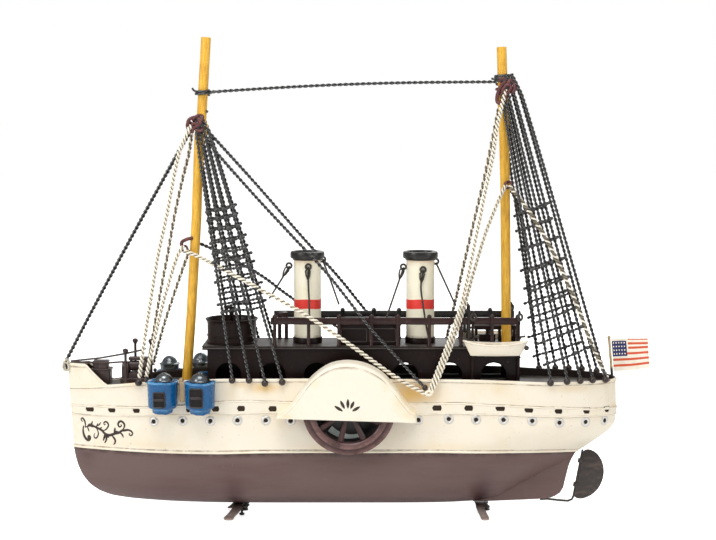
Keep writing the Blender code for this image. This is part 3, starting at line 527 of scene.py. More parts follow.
def belt_strip(side):
    """Strip of cells between the slots, given its thickness inwards."""
    edges = set(BELT_ENDS)
    for x, z, half in SLOTS:
        edges |= {x - half, x - half + 0.5 * SLOT_POINT, x - half + SLOT_POINT, x + half - 0.5, x + half}
    edges = sorted(edges)
    xs = [edges[0]]
    for a, b in zip(edges[:-1], edges[1:]):
        xs += np.linspace(a, b, max(2, int((b - a) / 3.0) + 1))[1:].tolist()
    xs = np.array(xs)
    middle_z = np.interp(xs, SLOTS[:, 0], SLOTS[:, 1])
    half = slot_half_height(xs)
    levels = np.stack((
        belt_level(*LOWER_BEAD)(xs), belt_level(*LOWER_BEAD, BELT_LIP)(xs), level_at(xs, middle_z - half),
        level_at(xs, middle_z + half), belt_level(*UPPER_BEAD, -BELT_LIP)(xs), belt_level(*UPPER_BEAD)(xs),
    ), 1)
    grid_x = np.repeat(xs[:, None], levels.shape[1], axis=1)
    front = side_points(grid_x, levels, BELT_FRONT, side)
    back = side_points(grid_x, levels, BELT_BACK, side)
    middle = 0.5 * (xs[:-1] + xs[1:])
    hole = np.any(np.abs(middle[:, None] - SLOTS[:, 0]) < SLOTS[:, 2], axis=1)
    count = levels.shape[1]
    total = front.shape[0] * count
    points = np.concatenate((front.reshape(-1, 3), back.reshape(-1, 3)))
    faces, used = [], {}
    for i in range(len(xs) - 1):
        for k in range(count - 1):
            if k == 2 and hole[i]:
                continue
            cell = (i * count + k, (i + 1) * count + k, (i + 1) * count + k + 1, i * count + k + 1)
            faces.append(cell)
            faces.append(tuple(p + total for p in cell[::-1]))
            for n in range(4):
                used[(cell[n], cell[(n + 1) % 4])] = True
    faces += [(b, a, a + total, b + total) for a, b in used if (b, a) not in used]
    # The strip's upper and lower edges are marked with painted shade where they meet the hull.
    return points, faces, np.tile((1.0, 0.0, 0.0, 0.0, 0.0, 1.0), 2 * len(xs))


def slot_backing(side):
    """Dark patches on the hull behind the slots: painted shade of the dark inside."""
    shapes = []
    order = [0, 2, 4, 6, 7, 5, 3, 1]
    for x, z, half in SLOTS:
        xs = np.linspace(x - half - SLOT_MARGIN, x + half + SLOT_MARGIN, 4)
        heights = (z - SLOT_HALF_HEIGHT - SLOT_MARGIN, z + SLOT_HALF_HEIGHT + SLOT_MARGIN)
        grid_x, grid_z = np.meshgrid(xs, heights, indexing="ij")
        levels = level_at(grid_x, grid_z)
        faces = [side_points(grid_x, levels, out, side).reshape(-1, 3)[order] for out in (0.0, 0.12)]
        shapes.append(stacked(faces))
    return shapes


beads = [half_round(belt_level(*LOWER_BEAD), 0.55, 0.95), half_round(belt_level(*UPPER_BEAD), 0.6, 1.0)]
make("side_belt", [belt_strip(-1), belt_strip(1)] + beads, cream_enamel, 40.0)
make("slot_backing", slot_backing(-1) + slot_backing(1), dark_inside_with_shade, 40.0)


# Folded edges. The bulwark's top edge is folded out over a wire, a seam crosses the bow wings, and a
# bead covers the joint between cream and brown at the waterline.
ACROSS = (0.0, 1.0, 0.0)
SEAM_LEVEL = 0.975


def folded_edge():
    """Rolled band round the rim: an outline in outward reach and drop, swept round the ship."""
    steps = ((-0.1, 2.2), (0.5, 2.05), (0.75, 1.3), (0.7, 0.5), (0.45, 0.0), (0.0, -0.2), (-0.5, -0.15),
             (-0.6, 0.5))
    # The fold's lower edge and its inner edge are marked with painted shade.
    dirt_and_painted_light = (1.0, 0.6, 0.0, 0.0, 0.0, 0.0, 0.3, 1.0)
    return with_rust_and_shade(with_painted_light_and_grime(turned_ring([rim_loop(grow, drop) for grow, drop in steps]), dirt_and_painted_light), STAINS)


def full_turn(count):
    """Equal angles round a full turn, without the last, which would repeat the first."""
    return np.linspace(0.0, 2.0 * np.pi, count + 1)[:-1]


def square_to(path, up, closed=False):
    """Two directions square to a path at each of its points: one square to up, and one to both."""
    along = np.roll(path, -1, 0) - np.roll(path, 1, 0) if closed else np.gradient(path, axis=0)
    along /= np.linalg.norm(along, axis=1)[:, None]
    side = np.cross(along, np.array(up, float))
    side /= np.maximum(np.linalg.norm(side, axis=1), 1e-9)[:, None]
    return side, np.cross(side, along)


def rings_round(path, radius, sides, side, top, flat=1.0):
    """Ring of points round each point of a path, in the plane of its two directions."""
    radius = np.broadcast_to(np.asarray(radius, float), (len(path),))[:, None, None]
    angle = full_turn(sides)[None, :, None]
    return path[:, None] + radius * (np.cos(angle) * side[:, None] + flat * np.sin(angle) * top[:, None])


def swept(path, radius, sides=12, closed=False, up=(0.0, 0.0, 1.0), flat=1.0):
    """Rod along a path of points: a ring of points square to the path at each one."""
    path = np.asarray(path, float)
    rings = rings_round(path, radius, sides, *square_to(path, up, closed), flat)
    return turned_ring(rings) if closed else stacked(rings)


def curve(points, step=1.0):
    """Smooth line through given points, with a place at about every step.

    Each stretch is a cubic that leaves and arrives along the direction between the neighbours on
    either side.
    """
    p = np.asarray(points, float)
    if len(p) < 3:
        return p
    ends = np.vstack((2 * p[0] - p[1], p, 2 * p[-1] - p[-2]))
    out = [p[:1]]
    for k in range(1, len(ends) - 2):
        a, b, c, d = ends[k - 1:k + 3]
        count = max(2, int(np.linalg.norm(c - b) / step) + 1)
        t = np.linspace(0.0, 1.0, count + 1)[1:, None]
        out.append(0.5 * (2 * b + (c - a) * t + (2 * a - 5 * b + 4 * c - d) * t ** 2
                          + (3 * b - a - 3 * c + d) * t ** 3))
    return np.concatenate(out)


seams = []
for side in (-1, 1):
    xs = np.linspace(-209.0, -178.5, 30)
    seams.append(swept(side_points(xs, np.full(30, SEAM_LEVEL), 0.25, side), 0.5, 8))
    xs = np.linspace(-208.6, BOW_RISE_X[0] - 0.5, 20)
    foot = side_points(xs, np.full(20, SEAM_LEVEL), 0.2, side)
    foot[:, 2] = rim_height(xs) - 2.6
    # A line of painted shade just under the wing's folded edge.
    seams.append(with_painted_light_and_grime(swept(foot, 0.35, 6), np.tile(0.9, 20)))
make("folded_gunwale", [folded_edge()] + seams, cream_enamel, 40.0)
steps = ((-0.55, -0.28), (-1.5, -0.2), (-1.75, 0.1), (-1.75, 2.4), (-0.55, 2.4))
inner_edge = turned_ring([rim_loop(grow, drop) for grow, drop in steps])
make("dark_inner_edge", [inner_edge], bulwark_ground, 40.0)
pale_edge = enamel("pale_cream_edge", "FBF1DC", "EED3A0", "9A7448", 0.35, 18.0, 0.5, 0.4)
make("waterline_bead", [half_round(0.012, 0.8, 0.8)], pale_edge, 40.0)


# Portholes. Plated eyelets pressed into the side over a thin grey washer, each with a dark centre of painted
# shade.
# Columns: x, height.
PORTHOLES = (
    (-145.2, 73.1), (-124.2, 74.5), (-104.2, 75.0), (-84.9, 75.7), (-64.9, 75.9), (-47.3, 75.8),
    (-27.0, 76.0), (-6.5, 76.1), (14.0, 76.2), (42.4, 76.3), (63.9, 76.9), (83.1, 76.4),
    (102.4, 76.3), (122.7, 75.4), (142.3, 73.6), (161.6, 73.1), (176.3, 72.8),
)
bright_plate, tree, plate = new_material("nickel_plated_eyelet")
plate["Base Color"].default_value = linear("E4E2DD")
plate["Metallic"].default_value = 1.0
coord = tree.nodes.new("ShaderNodeTexCoord").outputs["Object"]
# Fingerprints and dulling about a millimetre across vary the sheen of the plating.
wear = node(tree, "ShaderNodeTexNoise", {"Scale": 900.0, "Detail": 3.0}, Vector=coord)
tree.links.new(ramp(tree, wear.outputs["Fac"], 0.3, 0.7, 0.25, 0.5), plate["Roughness"])
grey_washer = enamel("grey_washer", "DDD5C8", "BDB3A4", "8C8276", 0.5, 5.0, 0.5, 0.3)


def side_frame(x, level, side):
    """Point on the side with two directions in the surface and the outward one."""
    p = side_points(x, level, 0.0, side)
    along = side_points(x + 0.5, level, 0.0, side) - side_points(x - 0.5, level, 0.0, side)
    up = side_points(x, level + 0.01, 0.0, side) - side_points(x, level - 0.01, 0.0, side)
    along, up = along / np.linalg.norm(along), up / np.linalg.norm(up)
    out = np.cross(along, up)
    out *= side * np.sign(out[1]) if out[1] else 1.0
    return p, along, up, out / np.linalg.norm(out)


def disc_stack(centre, along, up, out, profile, segments=28):
    """Turned shape on any axis: rings of (radius, height) round a point."""
    angle = full_turn(segments)
    circle = np.cos(angle)[:, None] * along + np.sin(angle)[:, None] * up
    return [centre + out * height + radius * circle for radius, height in profile]


EYELET = ((3.3, -0.2), (3.3, 0.16), (3.0, 0.5), (2.4, 0.75), (1.85, 0.6), (1.5, 0.2), (1.45, -0.2))
WASHER = ((3.2, -0.2), (3.75, -0.2), (3.7, 0.1), (3.2, 0.14))
eyelets, washers, pupils = [], [], []
for side in (-1, 1):
    for x, z in PORTHOLES:
        place = side_frame(x, level_at(x, z), side)
        eyelets.append(turned_ring(disc_stack(*place, EYELET)))
        washers.append(turned_ring(disc_stack(*place, WASHER)))
        pupils.append(stacked(disc_stack(*place, ((1.7, -0.2), (1.7, 0.16)), 20)))
make("porthole_eyelets", eyelets, bright_plate, 60.0)
make("porthole_washers", washers, grey_washer, 40.0)
make("porthole_centres", pupils, dark_inside_with_shade, 40.0)


# Scroll at the bow. A painted vine in dark brown, drawn freehand with a fine brush: a stem at the stem
# post, one long wave, two spirals and small leaves. It lies on the side as a low half-round stroke.
SCROLL_AT = (-200.1, 71.7)
SCROLL_TILT = 0.075
SCROLL_UNIT = 0.1
SCROLL_LONG = 1.02
SCROLL_TALL = 0.96
# Strokes, each its half width in millimetres and its points in tenths of a millimetre aft of and below
# the scroll's corner.
SCROLL = (
    (0.75, ((10, 23), (2, 15), (-1, 5), (5, -3), (16, 1), (28, 23), (31, 48), (26, 65))),
    (1.05, ((16, 53), (13, 87), (16, 112), (26, 138), (42, 157), (57, 160), (66, 147), (64, 133),
     (52, 130), (48, 142), (57, 149))),
    (1.35, ((48, 146), (55, 140), (58, 151))),
    (1.0, ((25, 64), (46, 60), (68, 48), (90, 55), (111, 63), (133, 74), (155, 85), (172, 104),
     (189, 117), (215, 123), (237, 117), (263, 109), (284, 105), (306, 90), (328, 88), (349, 85),
     (371, 93), (384, 110), (375, 127), (360, 121), (362, 109))),
    (1.3, ((46, 59), (66, 48), (85, 53), (103, 59))),
    (0.6, ((44, 61), (52, 76), (58, 96))),
    (0.7, ((67, 48), (81, 36), (85, 18))),
    (0.6, ((109, 65), (124, 87), (129, 112), (122, 134), (109, 146), (97, 138), (96, 122), (103, 108))),
    (0.6, ((112, 62), (122, 48), (127, 35))),
    (0.55, ((123, 55), (139, 42), (149, 26))),
    (0.6, ((133, 73), (146, 72), (157, 64))),
    (0.7, ((163, 89), (185, 82), (200, 65), (207, 48), (199, 30), (184, 23), (172, 32), (175, 46),
     (185, 40))),
    (0.95, ((178, 108), (178, 129), (165, 164))),
    (0.8, ((185, 117), (190, 153), (175, 183))),
    (0.7, ((187, 119), (196, 134), (210, 138))),
    (0.85, ((228, 121), (243, 140), (255, 159), (253, 181), (241, 193))),
    (0.9, ((251, 112), (253, 87), (255, 67))),
    (1.2, ((243, 114), (263, 102), (289, 106))),
    (0.85, ((306, 90), (321, 70), (326, 48), (315, 29), (297, 20), (282, 31), (279, 48), (290, 62),
     (304, 53), (297, 44))),
    (0.7, ((289, 104), (306, 117), (317, 141))),
)
brush_brown = enamel("brushed_umber", "3A302B", "64564B", "221C19", 0.5, 3.0, 0.6, 0.3, 0.0, shine=0.3)
strokes = []
for side in (-1, 1):
    for half_width, points in SCROLL:
        flat_line = curve(np.array(points) * SCROLL_UNIT * SCROLL_LONG, 0.7)
        x = SCROLL_AT[0] + flat_line[:, 0]
        z = SCROLL_AT[1] + SCROLL_TILT * flat_line[:, 0] - SCROLL_TALL * flat_line[:, 1]
        line = side_points(x, level_at(x, z), 0.0, side)
        share = np.linspace(0.0, 1.0, len(line))
        width = half_width * (0.3 + 0.7 * np.sin(np.pi * np.clip(share * 0.86 + 0.08, 0.0, 1.0)))
        strokes.append(swept(line, width, 6, up=ACROSS, flat=0.45))
make("bow_scroll", strokes, brush_brown, 60.0)


# Hull below the waterline. The same sheet painted brown; under the stern it narrows to a flat fin, and
# the run aft is pressed along a slanting crease. Columns: height, stem x, stern x, half beam, bow run,
# bow fullness, stern run, stern fullness.
BOTTOM = np.array((
    (9.4, -118.0, 70.0, 3.0, 60.0, 0.60, 50.0, 0.60),
    (10.4, -142.0, 88.0, 6.5, 75.0, 0.70, 70.0, 0.75),
    (12.2, -165.0, 98.0, 12.0, 95.0, 0.80, 85.0, 0.85),
    (14.6, -180.0, 106.0, 18.0, 110.0, 0.85, 95.0, 0.95),
    (18.0, -188.6, 112.0, 23.5, 120.0, 0.88, 100.0, 1.00),
    (23.0, -195.6, 120.0, 28.0, 125.0, 0.90, 104.0, 1.02),
    (30.0, -200.8, 131.5, 31.1, 130.0, 0.90, 106.0, 1.02),
    (38.0, -204.0, 144.8, 32.6, 135.0, 0.88, 108.0, 1.00),
    (45.0, -205.7, 154.5, 33.0, 140.0, 0.87, 104.0, 0.95),
    (52.7, -206.8, 158.7, 33.0, 145.0, 0.86, 102.0, 0.85),
))
FIN = (
    (84.0, 9.7), (96.6, 9.9), (121.0, 10.9), (136.4, 11.7), (140.7, 12.4), (144.0, 13.8), (147.5, 16.2),
    (149.8, 20.2), (150.6, 24.1), (152.1, 30.4), (153.6, 36.6), (155.4, 41.2), (157.4, 44.6), (158.6, 46.6),
    (150.0, 46.0), (140.0, 42.0), (110.0, 26.0), (84.0, 15.0),
)
FIN_HALF = 0.8
CREASE = ((107.0, 16.8), (120.5, 25.2), (134.0, 31.6), (148.4, 38.9))
# Brown enamel. Its darkest mark colour is painted shade under the waterline bead; its second dark colour
# shows the darker patches and the painted shade under the stern's crease.
brown_enamel = enamel("worn_brown_enamel", "6D5753", "5A3F3E", "8C726A", 0.4, 20.0, 0.75, 0.25, 0.16,
                      dirt_and_painted_light="2A1D1B", shine=0.4, stretch=(0.16, 0.16, 1.0), rust_and_painted_light="43282A")
by_row = np.column_stack((np.arange(len(BOTTOM)), BOTTOM))
steps = np.linspace(0.0, len(BOTTOM) - 1.0, 37)
bottom_columns = smooth_columns(by_row, steps)
low, high = BOTTOM[0, 0], BOTTOM[-1, 0]


def bottom_loop(column):
    """Outline of the bottom at one step up; its height follows the waterline the nearer it is to it."""
    z, row = column[0], column[1:]
    x = stations(row[0], row[1])
    y = np.maximum(half_beam(x, row), EDGE)
    share = ((z - low) / (high - low)) ** 2
    return closed_plan(x, y, z + (sheer(x, 1) - high) * share - SHEET_LIFT)


def bottom_side(x, z):
    """Half width of the bottom at a place, read between its outlines."""
    column = [np.interp(z, bottom_columns[0], bottom_columns[k]) for k in range(1, 8)]
    return max(float(half_beam(x, column)), EDGE)


# Darker patches above the feet and along the keel, painted shade under the slanting crease at the stern
# (the four from x 116 to 146), and one at the bow. Columns: x, height, half length, half height, strength.
BOTTOM_DARK_PATCHES = (
    (-88.0, 12.0, 6.5, 18.0, 1.0), (-86.0, 9.0, 14.0, 6.0, 1.0), (90.0, 12.0, 6.5, 18.0, 1.0),
    (88.0, 9.0, 14.0, 5.0, 0.9), (40.0, 10.0, 70.0, 4.5, 0.6), (-20.0, 12.0, 60.0, 4.0, 0.4),
    (146.0, 33.6, 6.0, 2.6, 0.6), (137.0, 29.4, 6.0, 2.6, 0.6), (127.0, 24.0, 7.0, 2.6, 0.6),
    (116.0, 18.6, 7.0, 2.6, 0.5), (-196.0, 48.0, 6.0, 9.0, 0.4),
)
# Painted shade just under the waterline bead.
bottom_shade_under_bead = np.zeros(len(steps))
bottom_shade_under_bead[-2:] = (0.4, 0.9)
bottom = with_painted_light_and_grime(stacked([bottom_loop(column) for column in bottom_columns.T]), bottom_shade_under_bead)
shapes = [with_rust_and_shade(bottom, BOTTOM_DARK_PATCHES)]
shapes.append(stacked([[(x, y, z) for x, z in FIN] for y in (-FIN_HALF, FIN_HALF)]))
for side in (-1, 1):
    line = [(x, side * (bottom_side(x, z) + 0.05), z) for x, z in curve(CREASE, 1.5)]
    shapes.append(swept(line, 0.5, 6, flat=0.8))
make("bottom_sheet", shapes, brown_enamel, 50.0, instead="hull_bottom")


# Feet. Two straps of sheet bent down and outwards, each screwed to the bottom under the hull; their
# rounded ends are the only places where the ship touches the table.
# Columns: name, x of the plate, x of the pad, half width of the strap.
FEET = (("fore", -87.0, -93.0, 3.6), ("aft", 88.5, 91.5, 3.0))
PLATE_Z = 8.4
STRAP_HALF_THICK = 0.6
strap_enamel = enamel("strap_with_painted_tip_highlight", "4A3A36", "7A675E", "A99688", 0.4, 6.0, 0.7, 0.5, rust_and_painted_light="B3A095")
screw_steel = enamel("blued_screw", "3B3A38", "6E6C68", "8E8B86", 0.35, 3.0, 0.6, 0.4, metal=0.8)
upright = (np.array((1.0, 0.0, 0.0)), np.array((0.0, 1.0, 0.0)), np.array((0.0, 0.0, 1.0)))
# Corners of a strap's section, as shares of its half width and of its half thickness.
STRAP_SECTION = ((-1, -0.6), (-0.9, -1), (0.9, -1), (1, -0.6), (1, 0.6), (0.9, 1), (-0.9, 1), (-1, 0.6))


def turned(centre, profile, segments, axes=upright, hollow=False):
    """Shape turned about an axis through a centre, filled at its ends or, if hollow, round its bore."""
    loops = disc_stack(np.asarray(centre, float), *axes, profile, segments)
    return turned_ring(loops) if hollow else stacked(loops)


def strap(path, half_width, half_thick):
    """Flat strip along a path, its width along x and its thickness square to the path."""
    path = np.asarray(path, float)
    along = np.gradient(path, axis=0)
    along /= np.linalg.norm(along, axis=1)[:, None]
    across = np.broadcast_to(upright[0], path.shape)
    normal = np.cross(along, across)
    half_width = half_width[:, None]
    corners = [path + across * half_width * a + normal * half_thick * b for a, b in STRAP_SECTION]
    return stacked(np.swapaxes(np.array(corners), 0, 1))


for name, plate_x, pad_x, half in FEET:
    shapes, screws = [], []
    for side in (-1, 1):
        line = curve(((plate_x, 0.0, PLATE_Z), (plate_x, side * 6.0, PLATE_Z), (plate_x, side * 9.6, 7.6),
                      (0.5 * (plate_x + pad_x), side * 12.4, 4.0), (pad_x, side * 14.4, 1.2),
                      (pad_x, side * 18.6, 0.7)), 0.8)
        width = half * np.clip((19.4 - np.abs(line[:, 1])) / 2.6, 0.3, 1.0) ** 0.5
        points, faces = strap(line, width, STRAP_HALF_THICK)
        # A painted highlight makes the strap paler towards its rounded end.
        tip_highlight = np.clip((np.abs(points[:, 1]) - 11.0) / 6.0, 0.0, 1.0)
        shapes.append((points, faces, -0.9 * tip_highlight))
        centre = np.array((plate_x + 2.6, side * 6.4, 0.0))
        screws.append(turned(centre, ((0.9, 9.2), (0.9, 2.6), (1.9, 2.4), (2.0, 1.4), (1.2, 0.9)), 14))
        for z in (6.6, 4.6):
            washer = ((1.0, z), (2.4, z + 0.1), (2.4, z + 1.2), (1.0, z + 1.3))
            screws.append(turned(centre + (2.2, 0.0, 0.0), washer, 12, hollow=True))
    make("foot_straps_" + name, shapes, strap_enamel, 40.0, instead="foot_" + name)
    make("foot_screws_" + name, screws, screw_steel, 40.0)


# Deck and deckhouse. The deck and the house's walls keep their solids: the deck is a worn grey and the
# walls are nearly black. The roof is a slab with round corners and a wired edge, and beads run round the
# arches.
# The dark enamel's pale specks are painted highlights.
dark_enamel = enamel("black_brown_enamel_with_painted_highlights", "1B0F0D", "33201B", "6A564B", 0.34, 16.0, 0.6, 0.3,
                     shine=0.2)
deck_enamel = enamel("worn_grey_deck_enamel", "56504A", "7A736A", "2A2725", 0.45, 12.0, 0.8, 0.6, shine=0.4)
roof_enamel = enamel("worn_roof_enamel", "4C4741", "77706A", "9A9188", 0.34, 14.0, 0.8, 0.6)
HOUSE_HALF = 20.0
ROOF_X = (-110.4, 117.2)
ROOF_HALF = 21.8
ROOF_Z = (124.4, 126.6)
ARCH_X = (-92.0, -60.6, -29.2, 2.2, 33.6, 65.0, 96.4)
ARCH_HALF = 9.2
ARCH_SPRING = 105.8
ARCH_SILL = 100.3
ROOF_CORNER = 1.8


def repaint(names, finish):
    """Give solids that keep their own shape another finish."""
    for name in names:
        nodes[name].data.materials.clear()
        nodes[name].data.materials.append(finish)


repaint(("deckhouse_side_port", "deckhouse_side_starboard", "deckhouse_front", "deckhouse_back"), dark_enamel)
repaint(("deck",), deck_enamel)


def round_rectangle(x, y, corner, z, inset=0.0):
    """Closed outline of a rectangle with round corners at a height."""
    corner = max(corner - inset, 0.05)
    x0, x1 = x[0] + inset + corner, x[1] - inset - corner
    y0, y1 = y[0] + inset + corner, y[1] - inset - corner
    outline = []
    for cx, cy, start in ((x0, y0, 180), (x1, y0, 270), (x1, y1, 0), (x0, y1, 90)):
        for a in np.radians(np.linspace(start, start + 90, 6)):
            outline.append((cx + corner * math.cos(a), cy + corner * math.sin(a), z))
    return outline


def slab(x, y, z, corner=0.6, edge=0.3):
    """Block with round corners and a small bevel along its upper and lower edges."""
    rings = ((z[0], edge), (z[0] + edge, 0.0), (z[1] - edge, 0.0), (z[1], edge))
    return stacked([round_rectangle(x, y, corner, height, inset) for height, inset in rings])


roof_y = (-ROOF_HALF, ROOF_HALF)
roof = slab(ROOF_X, roof_y, ROOF_Z, ROOF_CORNER, 0.4)
make("roof_sheet", [roof], roof_enamel, 40.0, instead="deckhouse_roof")
beads = [swept(round_rectangle(ROOF_X, roof_y, ROOF_CORNER, z), 0.5, 8, closed=True)
         for z in (ROOF_Z[1] - 0.2, ROOF_Z[0] + 0.3)]
reach = ARCH_HALF + 0.35
a = np.linspace(0.0, np.pi, 17)
for side in (-1, 1):
    y = side * (HOUSE_HALF + 0.1)
    for x in ARCH_X:
        arc = np.stack((x + reach * np.cos(a), np.full(17, y), ARCH_SPRING + reach * np.sin(a)), 1)
        foot_right = np.array(((x + reach, y, ARCH_SILL),))
        foot_left = foot_right - (2.0 * reach, 0.0, 0.0)
        beads.append(swept(np.vstack((foot_right, arc, foot_left)), 0.42, 6, up=ACROSS))
make("deckhouse_beads", beads, dark_enamel, 50.0)
bulkhead = slab((-104.0, 14.0), (-0.6, 0.6), (DECK_TOP + 0.3, ROOF_Z[0] - 0.4), 0.2, 0.1)
make("deckhouse_bulkhead", [bulkhead], dark_enamel, 40.0)


# Wheelhouse tub. A band of sheet rolled into a round with its top edge flared over a wire; inside stands
# the helm, a hoop on a post.
TUB_X = -91.2
tub_profile = ((17.5, 126.9), (18.1, 127.0), (18.1, 128.0), (17.6, 128.3), (17.5, 131.8), (17.9, 132.1),
               (17.9, 132.8), (17.5, 133.1), (17.5, 140.4), (17.8, 142.2), (18.4, 143.2), (18.9, 143.7),
               (18.9, 144.3), (18.5, 144.6), (17.9, 144.5), (17.3, 143.9), (16.8, 142.4), (16.5, 140.8),
               (16.5, 128.0))
make("rolled_tub", [turned((TUB_X, 0.0, 0.0), tub_profile, 72)], dark_enamel, 50.0,
     instead="wheelhouse_tub")
HELM_AT = (TUB_X, -1.7, 146.0)
HELM_REACH = 6.3


def wire_ring(centre, reach, wire, count=16, sides=6):
    """Ring of wire that stands upright along the ship: an ellipse of half length and half height."""
    a = full_turn(count)
    x, z = centre[0] + reach[0] * np.cos(a), centre[2] + reach[1] * np.sin(a)
    return swept(np.stack((x, np.full(count, centre[1]), z), 1), wire, sides, closed=True, up=ACROSS)


helm_shapes = [wire_ring(HELM_AT, (HELM_REACH, HELM_REACH), 0.75, 32, 8)]
middle = np.array(HELM_AT)
for a in np.radians((0.0, 60.0, 120.0)):
    reach = np.array((math.cos(a), 0.0, math.sin(a))) * HELM_REACH
    helm_shapes.append(swept((middle - reach, middle + reach), 0.45, 6, up=ACROSS))
helm_post = ((2.6, 128.2), (2.6, 129.1), (1.3, 130.1), (1.2, 144.0), (1.6, 146.5), (1.7, 151.4), (1.3, 152.4),
             (0.2, 152.7))
helm_shapes.append(turned((TUB_X, 0.0, 0.0), helm_post, 16))
make("helm_hoop_and_post", helm_shapes, dark_enamel, 50.0, instead="helm")


# Cabin between the funnels. A box of sheet with a hipped lid; each side has two panels edged with wire.
CABIN_X = (-13.7, 30.1)
CABIN_HALF = 15.0
CABIN_Z = (126.9, 144.0)
cabin_y = (-CABIN_HALF, CABIN_HALF)
cabin_body = slab(CABIN_X, cabin_y, (CABIN_Z[0], 141.4), 0.5, 0.2)
lid_x, lid_y = (CABIN_X[0] - 0.8, CABIN_X[1] + 0.8), (-CABIN_HALF - 0.8, CABIN_HALF + 0.8)
lid = stacked([round_rectangle(lid_x, lid_y, 0.8, z, inset) for z, inset in
               ((140.9, 0.3), (141.2, 0.0), (142.4, 0.0), (142.7, 0.4), (143.8, 2.4), (144.0, 3.0))])
cabin_shapes, edges = [cabin_body, lid], []
for side in (-1, 1):
    for x0, x1 in ((-11.9, 6.2), (8.2, 26.6)):
        frame_line = [(x, side * (CABIN_HALF + 0.05), z) for x, z in
                      ((x0, 129.2), (x1, 129.2), (x1, 138.6), (x0, 138.6))]
        dense = []
        for a, b in zip(frame_line, frame_line[1:] + frame_line[:1]):
            dense += [np.array(a) + (np.array(b) - np.array(a)) * t for t in (0.04, 0.35, 0.65, 0.96)]
        edges.append(swept(dense, 0.45, 6, closed=True, up=ACROSS))
make("cabin_box", cabin_shapes, dark_enamel, 35.0, instead="cabin")
rubbed_edge = enamel("rubbed_brown_edge", "3A302D", "5A4E4A", "8E8078", 0.4, 6.0, 0.7, 0.5)
make("cabin_panel_edges", edges, rubbed_edge, 35.0)


# Funnels. Cream tubes with a red band, a dark foot ring and a spreading black cap. Wire eyes and hooks
# near the top hold thin guy rods, drawn where the photo shows them.
FUNNELS = (("fore", -36.4, 9.75), ("aft", 44.9, 10.1))
FUNNEL_SIDES = 64
red_enamel = enamel("brick_red_enamel", "EE3A2E", "C82A22", "7A1A16", 0.36, 9.0, 0.5, 0.3)
funnel_cream = enamel("smoked_cream_enamel", "FDF6DE", "F3E4BC", "8A7350", 0.36, 26.0, 0.3, 0.25,
                      rust_and_painted_light="D9A66C")
black_enamel = enamel("flat_black_enamel", "1D1C1A", "3A3833", "6B655C", 0.34, 8.0, 0.6, 0.4)
for name, x, r in FUNNELS:
    centre = np.array((x, 0.0, 0.0))
    profile = ((r, 127.0), (r, 131.6), (r, 133.2), (r, 182.0), (r, 184.6), (r, 186.6), (r, 192.2),
               (r - 0.9, 192.2), (r - 0.9, 172.0))
    # Marks: painted shade just above the foot ring and down the inside of the tube, and a stain near the top.
    dirt_and_painted_light = (0.9, 0.6, 0.0, 0.0, -0.15, -0.45, -0.5, 0.4, 1.0)
    tube = with_painted_light_and_grime(turned(centre, profile, FUNNEL_SIDES), dirt_and_painted_light)
    make("funnel_tube_" + name, [tube], funnel_cream, 50.0, instead="funnel_" + name)
    # The band's painted edges rise and fall three times round the tube.
    profile = ((r - 0.3, 151.9), (r + 0.12, 151.9), (r + 0.12, 158.6), (r - 0.3, 158.6))
    band = np.array(disc_stack(centre, *upright, profile, FUNNEL_SIDES))
    band[:, :, 2] += 0.3 * np.sin(np.linspace(0.0, 6.0 * np.pi, FUNNEL_SIDES + 1)[:-1])
    make("funnel_band_" + name, [turned_ring(band)], red_enamel, 30.0)
    profile = ((r - 0.3, 126.9), (r + 0.7, 126.9), (r + 0.8, 130.4), (r + 0.4, 131.0), (r - 0.3, 131.0))
    foot = turned(centre, profile, FUNNEL_SIDES, hollow=True)
    make("funnel_foot_" + name, [foot], dark_enamel, 40.0)
    cap = ((r + 0.05, 186.6), (r + 0.7, 186.7), (r + 0.9, 187.6), (r + 2.1, 188.0), (r + 2.5, 188.7),
           (r + 2.45, 191.4), (r + 2.2, 192.4), (r + 1.5, 192.8), (r - 0.2, 192.7), (r - 0.5, 192.2),
           (r - 0.3, 190.0))
    liner = ((r - 1.0, 173.0), (r - 0.3, 192.6), (r - 0.8, 193.0), (r - 1.6, 190.0), (r - 1.6, 173.0))
    rims = [turned(centre, profile, FUNNEL_SIDES, hollow=True) for profile in (cap, liner)]
    make("funnel_rim_" + name, rims, black_enamel, 40.0, instead="funnel_cap_" + name)

# Guys. Columns: points of the rod, whether the rod's upper end is bent back along it.
GUYS = (
    (((-49.6, -1.0, 181.6), (-56.6, -5.0, 170.2), (-63.6, -8.0, 159.4)), True),
    (((-25.4, 1.0, 186.0), (-19.5, -1.5, 171.0), (-13.7, -4.0, 154.6)), False),
    (((-35.4, -10.7, 181.6), (-35.5, -10.7, 171.6), (-34.9, -13.5, 160.0), (-34.6, -17.0, 148.0),
      (-34.8, -20.0, 128.2)), True),
    (((32.6, -2.0, 180.8), (22.2, -8.0, 151.2), (20.5, -10.0, 146.4)), True),
    (((56.0, 0.0, 184.6), (70.2, -5.0, 153.7)), False),
    (((46.4, -11.0, 179.6), (44.8, -11.0, 168.0), (46.8, -14.0, 152.0), (49.0, -17.6, 138.0),
      (51.2, -20.0, 128.2)), True),
)
